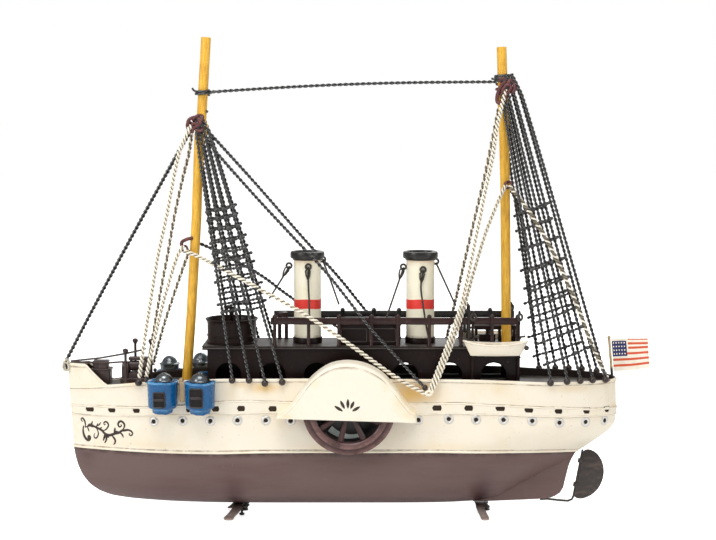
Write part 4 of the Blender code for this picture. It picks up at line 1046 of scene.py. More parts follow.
# Outline of a bent-back end. Columns: distance across the rod, distance along it from its ring.
BENT_END = ((0.3, -0.6), (-2.0, 2.2), (-1.5, 5.4), (0.1, 9.4), (0.8, 6.0), (1.3, 2.4))
shapes = []
for points, bent in GUYS:
    shapes.append(swept(curve(points, 4.0), 0.68, 7, up=ACROSS))
    top = np.array(points[0])
    shapes.append(wire_ring(top + (0.0, 0.0, 0.8), (1.9, 1.9), 0.75, 12))
    if bent:
        down = (np.array(points[1]) - top) / np.linalg.norm(np.array(points[1]) - top)
        across = np.array((-down[2], 0.0, down[0]))
        loop = [top + across * u + down * v + (0.0, -0.4, 0.0) for u, v in BENT_END]
        shapes.append(swept(loop, 0.6, 6, closed=True, up=ACROSS))
guy_wire = enamel("dull_guy_wire", "36312B", "544D43", "7C7263", 0.45, 5.0, 0.6, 0.5, 0.0, shine=0.4)
make("funnel_guys", shapes, guy_wire, 60.0)


# Rails. A flat strip soldered to round posts with ball tops; port is red-brown, starboard is black.
RAIL_Y = 20.6
RAIL_X = (-61.8, 115.0)
RAIL_Z = (142.4, 147.0)
RAIL_POSTS = (-59.0, -35.0, -13.5, 9.5, 28.0, 50.5, 73.0, 95.0, 113.0)
# The bitts take the place of the first starboard post; all the others but the last stand this much
# further aft.
POST_SHIFT = 2.2
RAIL_SECTION = ((-0.5, -2.3), (-0.3, -2.5), (0.3, -2.5), (0.5, -2.3), (0.5, 2.3), (0.3, 2.5), (-0.3, 2.5),
                (-0.5, 2.3))
rail_brown = enamel("red_brown_rail_enamel", "2E1A18", "4A2F2A", "8A6A5E", 0.32, 9.0, 0.6, 0.4, shine=0.35)
post_profile = ((1.8, 126.8), (1.8, 127.4), (1.25, 127.9), (1.2, 136.0), (1.25, 146.2), (1.3, 146.6),
                (1.6, 147.3), (1.7, 147.9), (1.4, 148.7), (0.7, 149.3), (0.05, 149.5))
for side, name, finish in ((-1, "port", rail_brown), (1, "starboard", black_enamel)):
    y = side * RAIL_Y
    xs = np.linspace(*RAIL_X, 40)
    middle = 0.5 * sum(RAIL_Z) + 0.12 * np.sin(xs / 11.0)
    shapes = [stacked([[(x, y + dy, z + dz) for dy, dz in RAIL_SECTION] for x, z in zip(xs, middle)])]
    for x in RAIL_POSTS[1 if side > 0 else 0:]:
        x += POST_SHIFT if side > 0 and x < 110.0 else 0.0
        shapes.append(turned((x, y, 0.0), post_profile, 14))
    make("roof_rail_" + name, shapes, finish, 50.0, instead="rail_" + name)

# Bitts: a round cap over two short posts at the forward end of the starboard rail.
cap = ((3.2, 142.9), (4.0, 143.3), (4.2, 145.8), (3.8, 146.6), (2.4, 147.0))
shapes = [turned((-55.4, 17.4, 0.0), cap, 28)]
shapes += [turned((x, 17.4, 0.0), ((1.7, 126.8), (1.35, 127.6), (1.35, 143.2)), 12) for x in (-57.6, -52.6)]
make("roof_bitts", shapes, rail_brown, 40.0)

# Bench aft of the second funnel, on the starboard half of the roof: a seat on legs over two low boxes.
BENCH_Y = (4.6, 11.4)
LOCKER_Y = (5.4, 10.6)
shapes = [slab((84.4, 115.0), BENCH_Y, (135.2, 138.2), 0.8, 0.4),
          slab((88.0, 100.0), LOCKER_Y, (126.9, 131.6), 0.6, 0.3),
          slab((104.0, 114.4), LOCKER_Y, (126.9, 130.4), 0.6, 0.3)]
shapes += [slab((x - 0.9, x + 0.9), BENCH_Y, (126.9, 135.6), 0.3, 0.1) for x in (86.0, 94.0, 103.0, 113.6)]
make("roof_bench", shapes, dark_enamel, 40.0)


# Masts. Yellow-stained dowels, dark in the grain; the fore mast has a second dowel lashed on its top.
MAST_R = 3.5
MASTS = {
    "fore": ((-124.3, 97.3), (-120.4, 147.0), (-117.4, 193.6), (-115.9, 216.0), (-115.2, 234.0),
             (-113.0, 279.0), (-111.8, 284.0), (-107.8, 345.0)),
    "main": ((107.3, 126.9), (105.3, 241.8), (103.2, 306.5), (101.9, 338.2)),
}
mast_wood, tree, shader = new_material("yellow_stained_birch_dowel")
coord = tree.nodes.new("ShaderNodeTexCoord").outputs["Object"]
# Grain runs up the dowel: the pattern is stretched eight times along z, with lines about 1.4 mm apart.
stretched = node(tree, "ShaderNodeMapping", {"Scale": (1.0, 1.0, 0.12)}, Vector=coord)
grain = node(tree, "ShaderNodeTexNoise", {"Scale": 700.0, "Detail": 5.0, "Roughness": 0.65},
             Vector=stretched.outputs[0])
tone = node(tree, "ShaderNodeValToRGB", {}, Fac=grain.outputs["Fac"])
tone.color_ramp.elements[0].position = 0.3
tone.color_ramp.elements[0].color = linear("D29526")
tone.color_ramp.elements[1].position = 0.6
tone.color_ramp.elements[1].color = linear("F7C244")
patch = node(tree, "ShaderNodeTexNoise", {"Scale": 60.0, "Detail": 3.0}, Vector=coord)
aged = mixed(tree, ramp(tree, patch.outputs["Fac"], 0.5, 0.75, 0.0, 0.5), tone.outputs[0], "B97C1F")
tree.links.new(aged, shader["Base Color"])
shader["Roughness"].default_value = 0.4
grain_bump = node(tree, "ShaderNodeBump", {"Strength": 0.15, "Distance": 0.0003}, Height=grain.outputs["Fac"])
tree.links.new(grain_bump.outputs[0], shader["Normal"])


def mast_x(name, z):
    """Centre of a mast at a height."""
    line = np.array(MASTS[name])
    return float(np.interp(z, line[:, 1], line[:, 0]))


for name, line in MASTS.items():
    points = np.array([(x, 0.0, z) for x, z in line])
    top = line[-1][1]
    z = np.concatenate((np.linspace(line[0][1], top - 2.0, 60), (top - 0.5, top - 0.15, top)))
    path = np.stack((np.interp(z, points[:, 2], points[:, 0]), np.zeros(len(z)), z), 1)
    radius = MAST_R * np.interp(z, (top - 0.5, top - 0.15, top), (1.0, 0.97, 0.9))
    shapes = [swept(path, radius, 32, up=ACROSS)]
    if name == "fore":
        top_peg = ((-110.6, 0.0, 287.0), (-109.4, 0.0, 282.0), (-109.4, 0.0, 276.0))
        shapes.append(swept(top_peg, (1.2, 2.6, 2.9), 20, up=ACROSS))
    make("dowel_" + name, shapes, mast_wood, 50.0, instead=name + "_mast")


# Lashings. Turns of red-brown cord and black wire round the masts where the ropes are made fast, with a
# few bent ends and a hook.
# The cords' and wires' mark colours are painted shade between laid strands.
tarred_cord = enamel("red_brown_tarred_cord", "5C2E30", "8A5446", "B08070", 0.4, 4.0, 0.7, 0.5, 0.0,
                     dirt_and_painted_light="1B0E0E", even=1.0)
black_wire = enamel("blackened_iron_wire", "1B1A19", "32302E", "7A746A", 0.24, 5.0, 0.6, 0.5, 0.0,
                    dirt_and_painted_light="040404", shine=1.0, even=1.0)
cream_cord = enamel("waxed_cream_cord", "FBF3E2", "EBDEC0", "9A8960", 0.5, 6.0, 0.5, 0.4, 0.0,
                    dirt_and_painted_light="84755A", even=1.0)
olive_cord_with_painted_shade = enamel("stained_cord_with_painted_shade", "857B68", "5C5343", "A79C7E", 0.5, 4.0, 0.7, 0.5, 0.0,
                    dirt_and_painted_light="2C261E", even=1.0)


def wraps(mast, z0, z1, turns, cord, off=(0.0, 0.0), swell=0.0):
    """Helix of turns round a mast; swell widens its middle."""
    t = np.linspace(0.0, 1.0, int(turns * 20))
    z = z0 + (z1 - z0) * t
    centre = np.array([mast_x(mast, h) for h in z])
    r = MAST_R + cord * 0.9 + swell * np.sin(np.pi * t)
    a = 2.0 * np.pi * turns * t
    line = np.stack((centre + off[0] + r * np.cos(a), off[1] + r * np.sin(a), z + 0.35 * np.sin(a)), 1)
    return swept(line, cord, 7)


def ball(centre, radius, segments=16):
    """Round bead: rings of a circle's half outline."""
    a = np.linspace(0.06, np.pi - 0.06, 10)
    profile = np.stack((np.maximum(radius * np.sin(a), 0.04), -radius * np.cos(a)), 1)
    return turned(centre, profile, segments)


def loose_loop(centre, size, tilt, cord):
    """Open turn of cord: an ellipse of the given half sizes, turned by tilt and wandering in depth."""
    a = full_turn(24)
    u, w = size[0] * np.cos(a), size[1] * np.sin(a)
    x = centre[0] + u * math.cos(tilt) - w * math.sin(tilt)
    y = centre[1] + 0.9 * np.sin(2.0 * a + tilt)
    z = centre[2] + u * math.sin(tilt) + w * math.cos(tilt)
    return swept(np.stack((x, y, z), 1), cord, 7, closed=True, up=ACROSS)


# Loops on the fore mast and then on the main mast. Columns: centre, half sizes, tilt, half thickness.
LOOPS = (
    ((-116.4, -4.6, 285.0), (4.6, 3.4), 0.3, 1.25), ((-113.6, -4.2, 287.6), (3.6, 2.0), 0.4, 1.1),
    ((-119.2, -4.2, 281.6), (2.0, 3.4), 0.3, 1.1), ((-114.2, -5.0, 281.4), (4.0, 1.8), -0.6, 1.1),
    ((-124.0, -4.0, 194.6), (1.8, 2.4), 0.4, 0.9),
    ((102.4, -4.6, 306.0), (3.0, 8.0), -0.35, 1.3), ((108.6, -4.8, 310.4), (2.4, 4.2), 0.2, 1.3),
    ((105.2, -5.2, 308.2), (4.2, 2.2), 0.9, 1.2), ((104.2, -5.0, 313.4), (4.0, 1.6), -0.5, 1.1),
    ((107.0, -4.0, 240.6), (2.6, 2.0), 0.4, 1.0),
)
# The hook forward of the mast that the middle ropes hang from.
MIDDLE_HOOK = ((-118.5, -2.6, 202.5), (-122.5, -3.6, 201.6), (-126.2, -4.0, 199.4), (-126.0, -4.2, 195.4))
# Bent ends of the mast stay's turns. Columns: points, step between drawn points.
WIRE_ENDS = (
    (((-105.0, -3.0, 305.4), (-101.6, -3.4, 306.8), (-98.6, -3.0, 306.0)), 0.9),
    (((-114.6, -3.0, 306.6), (-116.6, -3.2, 307.6), (-117.6, -3.2, 309.2)), 0.8),
    (((99.8, -3.0, 316.4), (96.6, -3.2, 315.4), (94.6, -3.0, 316.0)), 0.9),
)
cords = [loose_loop(*item) for item in LOOPS]
cords.append(wraps("main", 303.0, 312.0, 2.5, 1.1, (0.4, 0.0), 0.4))
cords.append(swept(curve(MIDDLE_HOOK, 1.0), 1.3, 8, up=ACROSS))
make("mast_lashings", cords, tarred_cord, 60.0)
turns = [wraps("fore", 304.2, 307.8, 2.2, 0.9, swell=1.2), wraps("main", 313.8, 318.4, 3.0, 1.1, swell=0.9),
         ball((-107.4, -2.4, 292.6), 1.0, 8)]
turns += [swept(curve(points, step), 0.8, 6, up=ACROSS) for points, step in WIRE_ENDS]
make("mast_stay_turns", turns, black_wire, 60.0)


# Rigging. Every rope is two strands of wire or cord laid up together, drawn as two rods wound round a
# common path, with painted shade where they press together. Shrouds end in black balls at the gunwale,
# and knotted ratlines cross them.
def laid_rope(route, strand=0.68, pitch=6.8, sides=7):
    """Two strands round a route: each is a rod whose centre turns about the route once in a pitch.

    The first turn's angle differs from rope to rope, and the points that face the other strand are marked
    with painted shade.
    """
    route = curve(route, 6.0)
    run = np.concatenate(([0.0], np.cumsum(np.linalg.norm(np.diff(route, axis=0), axis=1))))
    s = np.linspace(0.0, run[-1], max(int(run[-1] / pitch * 10), 6))
    path = np.stack([np.interp(s, run, route[:, k]) for k in range(3)], 1)
    side, top = square_to(path, ACROSS)
    shapes = []
    for start in (0.0, np.pi):
        turn = start + 1.7 * route[0].sum() + 2.0 * np.pi * s / pitch
        centre = path + strand * 0.9 * (np.cos(turn)[:, None] * side + np.sin(turn)[:, None] * top)
        points, faces = stacked(rings_round(centre, strand, sides, side, top))
        inwards = -np.cos(full_turn(sides)[None, :] - turn[:, None])
        shapes.append((points, faces, np.clip(1.5 * inwards + 0.1, 0.0, 1.0).ravel()))
    return shapes


def gunwale_point(x, side, z, out=1.7):
    """Point just outside the rim at a station."""
    p = side_points(x, RIM_LEVEL, out, side)
    return np.array((p[0], p[1], z))


deadeye_wood = enamel("black_brown_deadeye", "2A1F1A", "4E3A2E", "80684F", 0.3, 4.0, 0.6, 0.4, 0.0, shine=0.6)
# Columns: tag, first head, how far aft of it each shroud's head stands, first ratline as a share of the
# way down, step of the ratlines, their number, how many shrouds they cross, their rise from one shroud to
# the next, and how far they run past the first shroud, as a share of the gap to the second.
NETS = (
    ("fore", (-114.4, 5.2, 274.4), (0.0, 2.6, 5.4, 8.4), 0.31, 0.0415, 11, 4, 1.5, 0.14),
    ("main", (102.4, 5.2, 301.0), (0.0, 2.0, 4.6, 8.6, 13.4), 0.40, 0.0655, 9, 4, 2.4, 0.3),
)
RATLINE_STRAND = 0.56
# Where each net's shrouds are made fast to the mast.
KNOTS = {"fore": (-112.0, 4.4, 282.0), "main": (106.4, 4.6, 309.0)}
# How much further aft the starboard feet stand than the port ones, mm; below zero is further forward.
STARBOARD_SHIFT = {"fore": -3.8, "main": 0.0}
# Balls at the feet of each net. Columns: x, height.
DEADEYES = {
    "fore": ((-88.2, 104.5), (-76.3, 104.6), (-65.3, 102.5), (-53.2, 103.4)),
    "main": ((135.0, 102.5), (146.8, 103.1), (156.3, 103.3), (165.4, 103.3), (175.2, 102.6)),
}
SIDES = ((-1, "port"), (1, "starboard"))
for side, name in SIDES:
    for tag, head, steps, first, apart, rungs, crossed, rise, past in NETS:
        tops = [np.array((head[0] + step, side * head[1], head[2] + 0.3 * step)) for step in steps]
        shift = STARBOARD_SHIFT[tag] if side > 0 else 0.0
        ends = [gunwale_point(x + shift, side, z) for x, z in DEADEYES[tag]]
        shapes = []
        knot = np.array(KNOTS[tag]) * (1.0, side, 1.0)
        for top, end in zip(tops, ends):
            shapes += laid_rope((knot + (top - knot) * (0.2, 1.0, 0.1), top, end + (0.0, 0.0, 1.6)))
        for k in range(rungs):
            share = first + apart * (k + 0.16 * math.sin(5.0 * k))
            if side > 0:
                # The starboard ratlines were tied a little lower.
                share += 0.014 * k / rungs if tag == "fore" else 0.02
            line = [t + (e - t) * share + np.array((0.0, side * 1.1, rise * share * 1.4 * i))
                    for i, (t, e) in enumerate(zip(tops[:crossed], ends))]
            line.insert(0, line[0] - (line[1] - line[0]) * (past + 0.1 * math.sin(3.0 * k)))
            line.append(line[-1] + (line[-1] - line[-2]) * (0.2 + 0.1 * math.cos(4.0 * k)))
            uneven = [p + (0.0, 0.0, 0.3 * math.sin(2.3 * k + 1.9 * n)) for n, p in enumerate(line)]
            shapes += laid_rope(uneven, RATLINE_STRAND, 5.0, 6)
            shapes += [ball(p, 1.5, 8) for p in line[1:-1]]
            shapes += [ball(line[0], 1.2, 7), ball(line[-1], 1.2, 7)]
        make(f"laid_shrouds_{tag}_{name}", shapes, black_wire, 60.0,
             instead=f"shrouds_{tag}_{name}")
        balls = [ball(end, 2.45) for end in ends]
        balls += [ball(end + (0.6, side * 1.2, -0.9), 1.0, 10) for end in ends]
        make(f"deadeyes_{tag}_{name}", balls, deadeye_wood, 60.0)

FORESTAY = ((-211.6, 0.0, 112.6), (-191.5, -0.8, 150.3), (-159.5, -2.1, 208.2), (-120.2, -3.5, 277.0),
            (-116.0, -3.8, 281.0))
make("laid_forestay", laid_rope(FORESTAY, 0.82, 6.6), black_wire, 60.0, instead="forestay")
share = np.linspace(0.0, 1.0, 9)
# The stay climbs towards the main mast and bends up a little between its ends.
height = 306.3 + 7.3 * share + 2.0 * np.sin(np.pi * share)
stay_route = np.stack((-106.6 + 205.3 * share, np.zeros(9), height), 1)
make("laid_mast_stay", laid_rope(stay_route, 0.66, 8.2), black_wire, 60.0, instead="mast_stay")

# Single ropes. Columns: name, node it stands for, colour, strand's half thickness, pitch, points. Each was
# followed in the photo; the two sides differ a little, because every rope was made fast by hand.
ROPES = (
    ("backstay_port", "backstay_port", "black", 0.7, 6.6,
     ((-110.6, -4.4, 278.6), (-102.0, -6.0, 265.4), (-75.6, -11.0, 235.7), (-47.3, -16.0, 205.5),
      (-21.6, -21.0, 178.3), (6.3, -27.0, 143.3), (19.6, -30.0, 128.6), (45.4, -35.4, 101.0))),
    ("backstay_starboard", "backstay_starboard", "black", 0.7, 6.6,
     ((-109.0, 4.2, 280.4), (-73.8, 10.0, 240.7), (-42.0, 16.0, 203.4), (-15.0, 21.0, 172.8),
      (4.8, 25.0, 147.9), (40.6, 35.0, 103.6))),
    ("middle_stay_port", "mid_stay_port", "cream", 0.88, 7.8,
     ((-124.4, -5.0, 193.2), (-114.8, -8.0, 189.9), (-91.6, -22.5, 179.8), (-61.6, -25.5, 164.0),
      (-33.4, -26.0, 147.6), (-5.4, -28.5, 128.8), (25.8, -34.0, 107.2), (48.4, -36.8, 94.8))),
    ("middle_stay_starboard", "mid_stay_starboard", "black", 0.7, 6.6,
     ((-116.6, 3.6, 199.2), (-96.4, 8.0, 189.4), (-70.1, 14.0, 173.5), (-48.5, 19.0, 156.8),
      (-10.0, 27.0, 131.0), (31.0, 35.2, 104.0))),
    ("bow_cord_port", None, "cream", 0.88, 6.4,
     ((-118.6, -5.0, 283.0), (-127.4, -7.1, 261.9), (-135.9, -10.9, 219.5), (-142.0, -13.6, 191.2),
      (-146.7, -16.2, 162.9), (-151.1, -18.9, 134.6), (-155.3, -21.5, 104.2))),
    ("bow_cord_starboard", None, "two", 0.74, 6.0,
     ((-118.4, 4.0, 281.0), (-121.8, 5.9, 261.7), (-125.8, 7.5, 247.2), (-132.9, 10.4, 218.3),
      (-138.8, 13.3, 188.9), (-145.1, 16.1, 159.3), (-152.4, 19.7, 122.0), (-155.5, 21.2, 105.8))),
    ("bow_bridle_port", None, "cream", 0.88, 6.4,
     ((-124.6, -5.0, 197.0), (-129.0, -6.9, 190.6), (-137.5, -12.1, 162.4), (-144.1, -17.3, 134.4),
      (-150.1, -22.8, 105.2))),
    ("bow_bridle_starboard", None, "two", 0.74, 6.0,
     ((-121.6, 4.0, 193.3), (-128.8, 7.9, 174.8), (-139.8, 14.3, 144.8), (-144.8, 17.5, 129.6),
      (-151.6, 22.1, 106.6))),
    ("main_cord_port", None, "cream", 0.88, 6.4,
     ((104.6, -4.8, 308.0), (98.0, -8.8, 279.5), (95.4, -11.4, 261.9), (89.3, -15.6, 233.8),
      (83.4, -20.0, 205.8), (77.4, -24.4, 177.9), (71.2, -28.0, 152.9), (63.4, -31.6, 130.7),
      (54.6, -35.0, 108.6), (49.8, -36.8, 96.4))),
    ("main_cord_starboard", None, "two", 0.76, 6.0,
     ((103.2, 4.6, 308.0), (97.4, 9.2, 276.0), (92.0, 13.6, 247.1), (85.7, 17.8, 217.9),
      (79.3, 22.0, 188.2), (73.0, 26.4, 158.2), (61.4, 35.6, 103.8))),
    ("main_bridle_port", None, "cream", 0.88, 6.4,
     ((105.4, -4.6, 240.6), (100.0, -7.4, 229.9), (95.6, -9.6, 219.3), (90.0, -12.6, 205.3),
      (81.2, -18.8, 177.4), (74.0, -24.4, 152.4), (66.2, -29.4, 130.4), (57.2, -34.4, 108.5),
      (51.6, -37.0, 96.8))),
    ("aft_bridle_port", None, "two", 0.9, 6.2,
     ((108.0, -4.8, 239.4), (116.1, -15.0, 228.7), (128.0, -19.0, 210.6), (138.9, -21.0, 190.7),
      (152.2, -22.5, 162.1), (165.2, -21.5, 129.6), (178.7, -16.8, 100.9))),
    ("aft_bridle_starboard", None, "black", 0.7, 6.6,
     ((110.0, 4.0, 236.4), (117.9, 8.0, 214.8), (135.2, 32.8, 103.8))),
)
FINISH = {"black": (black_wire, "black_wire"), "cream": (cream_cord, "cream_paint")}
for name, stands_for, colour, strand, pitch, points in ROPES:
    rope = laid_rope(points, strand, pitch)
    # A rope of two colours has a cream strand and a dark olive one: stained cord, darkened further as painted
    # shade of the twist.
    if colour == "two":
        make(name + "_pale_strand", rope[:1], cream_cord, 60.0)
        make(name + "_dark_strand", rope[1:], olive_cord_with_painted_shade, 60.0)
    else:
        make(name, rope, FINISH[colour][0], 60.0, instead=stands_for)
ends = []
for side in (-1, 1):
    ends += [ball(gunwale_point(-155.4, side, 101.0), 2.6), ball(gunwale_point(-150.0, side, 102.6), 1.4),
             ball((47.0, side * 35.6, 99.6), 2.0)]
make("rope_end_balls", ends, deadeye_wood, 60.0)
eye = wire_ring((49.6, -37.4, 96.0), (2.1, 1.5), 0.9, sides=7)
make("rope_end_eye", [eye], cream_cord, 60.0)


# Turrets. Blue cans soldered on the bow quarter, with a bowl under each, a pressed window, and a plain
# steel dome on top. Port and starboard stand at slightly different places.
# Columns: name, x on port, x on starboard, distance from the middle plane.
TURRETS = (("fore", -137.2, -139.5, 34.0), ("aft", -110.6, -116.0, 37.0))
CAN = ((3.0, 80.9), (5.4, 81.1), (6.9, 81.9), (7.3, 83.0), (7.4, 85.0), (7.8, 85.3), (9.2, 85.3), (9.9, 86.0),
       (10.2, 87.6), (10.4, 96.0), (10.7, 102.6), (10.9, 103.4), (10.8, 104.1), (10.2, 104.5), (9.4, 104.3),
       (8.9, 103.7), (2.0, 103.6))
PORT_DOME = ((7.6, 104.0), (7.6, 104.6), (6.9, 104.9), (6.6, 105.6), (6.1, 106.9), (5.2, 108.2), (3.8, 109.2),
             (2.5, 109.7), (2.4, 110.2), (1.6, 110.5), (0.2, 110.6))
STARBOARD_DOME = ((7.2, 101.6), (7.4, 105.6), (8.1, 105.8), (8.1, 106.5), (6.9, 106.9), (6.2, 107.4),
                  (5.6, 109.0), (4.6, 110.8), (3.0, 112.2), (1.4, 112.8), (0.2, 113.0))
DOME_FOOT_Z = 104.0
# Each dome's shift along the ship, width and height as shares of the plain one, given one by one.
DOMES = {"port_fore": (1.2, 0.9, 0.93), "port_aft": (0.2, 1.0, 1.02), "starboard_fore": (-1.4, 0.95, 0.86),
         "starboard_aft": (-1.8, 1.0, 1.08)}
# Windows. Columns: middle angle and half angle round the can in degrees, heights of the lower and upper edge.
WINDOWS = {"fore": (96.5, 22.0, (87.0, 97.5)), "aft": (100.0, 25.0, (87.6, 100.6))}
PANE_R = 10.6
FRAME_R = 10.85
# Above this height the starboard cans are drawn in to this share, because they stand lower.
LOW_CAN_Z = 99.0
LOW_CAN_SHARE = 0.35
# The pale blue specks are scratches and painted glints, and the pale blue mark colour is painted highlight.
blue_enamel = enamel("bright_blue_enamel", "04598F", "0E4673", "57A0CE", 0.24, 6.0, 0.6, 0.4, 0.5,
                     dirt_and_painted_light="6FAFDC")
# The steel's darker stain is painted dark reflection.
steel_with_painted_reflections = enamel("steel_with_painted_dark_reflections", "72777A", "3E4244", "C0C4C4", 0.24, 5.0, 0.9, 0.5, 0.3, metal=0.9)
window_dark = enamel("window_dark", "0E0B0B", "33201F", "5E5348", 0.45, 4.0, 0.6, 0.5, 0.4, shine=0.3)
window_frame = enamel("window_frame", "211A19", "4A2B2A", "8A7264", 0.35, 4.0, 0.6, 0.5, 0.0, shine=0.6)


def can_patch(centre, radius, turn_deg, z_range, out, columns=9):
    """Thin plate bent round a can: a grid of angles and heights with a front and a back."""
    a = np.radians(np.linspace(turn_deg[0], turn_deg[1], columns))
    loops = []
    for r in (radius - 0.2, radius + out):
        ring = [(centre[0] + r * math.cos(t), centre[1] + r * math.sin(t), z_range[0]) for t in a]
        ring += [(centre[0] + r * math.cos(t), centre[1] + r * math.sin(t), z_range[1]) for t in a[::-1]]
        loops.append(ring)
    return stacked(loops)


def can_frame(centre, radius, turn_deg, z_range, wire):
    """Wire edge round a window on a can: a closed loop with round corners, bent to the can."""
    half_turn, half_z = 0.5 * (turn_deg[1] - turn_deg[0]), 0.5 * (z_range[1] - z_range[0])
    a = full_turn(40)
    c, s = np.cos(a), np.sin(a)
    t = np.radians(0.5 * sum(turn_deg) + half_turn * np.sign(c) * np.abs(c) ** 0.4)
    z = 0.5 * sum(z_range) + half_z * np.sign(s) * np.abs(s) ** 0.4
    line = np.stack((centre[0] + radius * np.cos(t), centre[1] + radius * np.sin(t), z), 1)
    return swept(line, wire, 6, closed=True, up=ACROSS)


for side, name in SIDES:
    windows, wires = [], []
    for place, x_port, x_starboard, y in TURRETS:
        x = x_port if side < 0 else x_starboard
        centre = np.array((x, side * y, 0.0))
        can = np.array(disc_stack(centre, *upright, CAN, 64))
        turn = full_turn(64)
        can[:, :, 2] += 0.18 * np.sin(3.0 * turn + x) + 0.12 * np.sin(7.0 * turn)
        if side > 0:
            drawn_in = LOW_CAN_Z + LOW_CAN_SHARE * (can[:, :, 2] - LOW_CAN_Z)
            can[:, :, 2] = np.minimum(can[:, :, 2], drawn_in)
        # Painted highlights on the rim and on the step over the bowl.
        dirt_and_painted_light = [0.0] * 4 + [0.8, 0.6] + [0.0] * 5 + [0.9, 0.9, 0.2] + [0.0] * 3
        make(f"can_{name}_{place}", [with_painted_light_and_grime(stacked(can), dirt_and_painted_light)], blue_enamel, 45.0,
             instead=f"turret_{name}_{place}")
        shift, width, lift = DOMES[f"{name}_{place}"]
        plain = PORT_DOME if side < 0 else STARBOARD_DOME
        cover = [(r * width, DOME_FOOT_Z + (z - DOME_FOOT_Z) * lift) for r, z in plain]
        dome = turned(centre + (shift, 0.0, 0.0), cover, 48)
        make(f"dome_{name}_{place}", [dome], steel_with_painted_reflections, 45.0,
             instead=f"turret_dome_{name}_{place}")
        middle, half_angle, z_range = WINDOWS[place]
        span = (side * middle - half_angle, side * middle + half_angle)
        windows.append(can_patch(centre, PANE_R, span, z_range, 0.25))
        half_z = 0.5 * (z_range[1] - z_range[0])
        wires.append(can_frame(centre, FRAME_R, span, (z_range[0], z_range[0] + half_z + 0.4), 0.55))
        wires.append(can_frame(centre, FRAME_R, span, (z_range[0] + half_z - 0.4, z_range[1]), 0.55))
    make("turret_windows_" + name, windows, window_dark, 40.0)
    make("turret_window_frames_" + name, wires, window_frame, 60.0)

# Tan strap between the two turrets of each side, with a solder knob on top; its tan is painted shade of
# the hull side between the turrets.
tan_painted_shade = enamel("tan_painted_shade_enamel", "B39A78", "8F7553", "6B5538", 0.5, 5.0, 0.7, 0.4)
shapes = []
for side in (-1, 1):
    y = sorted((side * 31.5, side * 35.6))
    shapes.append(slab((-125.2, -121.0), y, (89.6, 103.8), 0.8, 0.4))
    shapes.append(ball((-124.0, side * 33.6, 104.6), 1.7, 12))
make("turret_straps", shapes, tan_painted_shade, 40.0)


# Lifeboats. Small cream shells with a folded rim and two thwarts, seated on the davits' arms.
BOAT_X = (73.8, 119.6)
BOAT_Y = 30.5
BOAT_HALF = 7.5
BOAT_Z = (121.6, 129.6)
BOAT_SHEER = 2.6


def boat_loop(side, share, inside=0.0, lift=0.0):
    """Pointed outline of the boat at a share of its depth: narrower towards the keel."""
    s = np.linspace(0.0, 1.0, 33)
    keep = 0.42 + 0.58 * math.sin(0.5 * np.pi * share) ** 0.7
    half = np.maximum(BOAT_HALF * keep * np.sin(np.pi * s) ** 0.7 - inside, 0.22)
    along = 0.5 + (s - 0.5) * (0.77 + 0.23 * share) * (1.0 - 0.05 * inside)
    x = BOAT_X[0] + (BOAT_X[1] - BOAT_X[0]) * along
    z = BOAT_Z[0] + (BOAT_Z[1] - BOAT_Z[0]) * share + BOAT_SHEER * share * (2.0 * s - 1.0) ** 2 + lift
    near = np.stack((x, side * (BOAT_Y - half), z), 1)
    far = np.stack((x, side * (BOAT_Y + half), z), 1)
    return np.concatenate((near, far[::-1]))


for side, name in SIDES:
    # Columns: share of the depth, how far inside, lift, mark, which is painted shade under the rim and inside
    # the boat.
    rows = [(t, 0.0, 0.0, 0.0) for t in np.linspace(0.0, 0.86, 9)]
    rows += [(0.90, 0.0, 0.0, 0.9), (0.92, -0.35, 0.0, 0.2), (1.0, -0.4, -0.1, 0.0), (1.0, 0.0, 0.3, 0.0),
             (1.0, 0.7, 0.2, 0.0)]
    rows += [(t, 0.8, 0.0, 0.3) for t in np.linspace(0.92, 0.2, 6)]
    loops = [boat_loop(side, share, inside, lift) for share, inside, lift, dirt_and_painted_light in rows]
    shapes = [with_painted_light_and_grime(stacked(loops), [row[3] for row in rows])]
    for x in (88.0, 103.0):
        y = sorted((side * (BOAT_Y - 6.0), side * (BOAT_Y + 6.0)))
        shapes.append(slab((x - 1.6, x + 1.6), y, (128.0, 128.8), 0.4, 0.2))
    make("boat_shell_" + name, shapes, cream_enamel, 45.0, instead="lifeboat_" + name)

# Davits. Tapered round posts from the deck with a hooked top, each with an arm under the boat, a ring of
# wire on the hook and a short bent wire. A pin stands before the forward one, and a small ball is where
# the boat's end is lashed.
DAVIT_X = (81.0, 113.6)
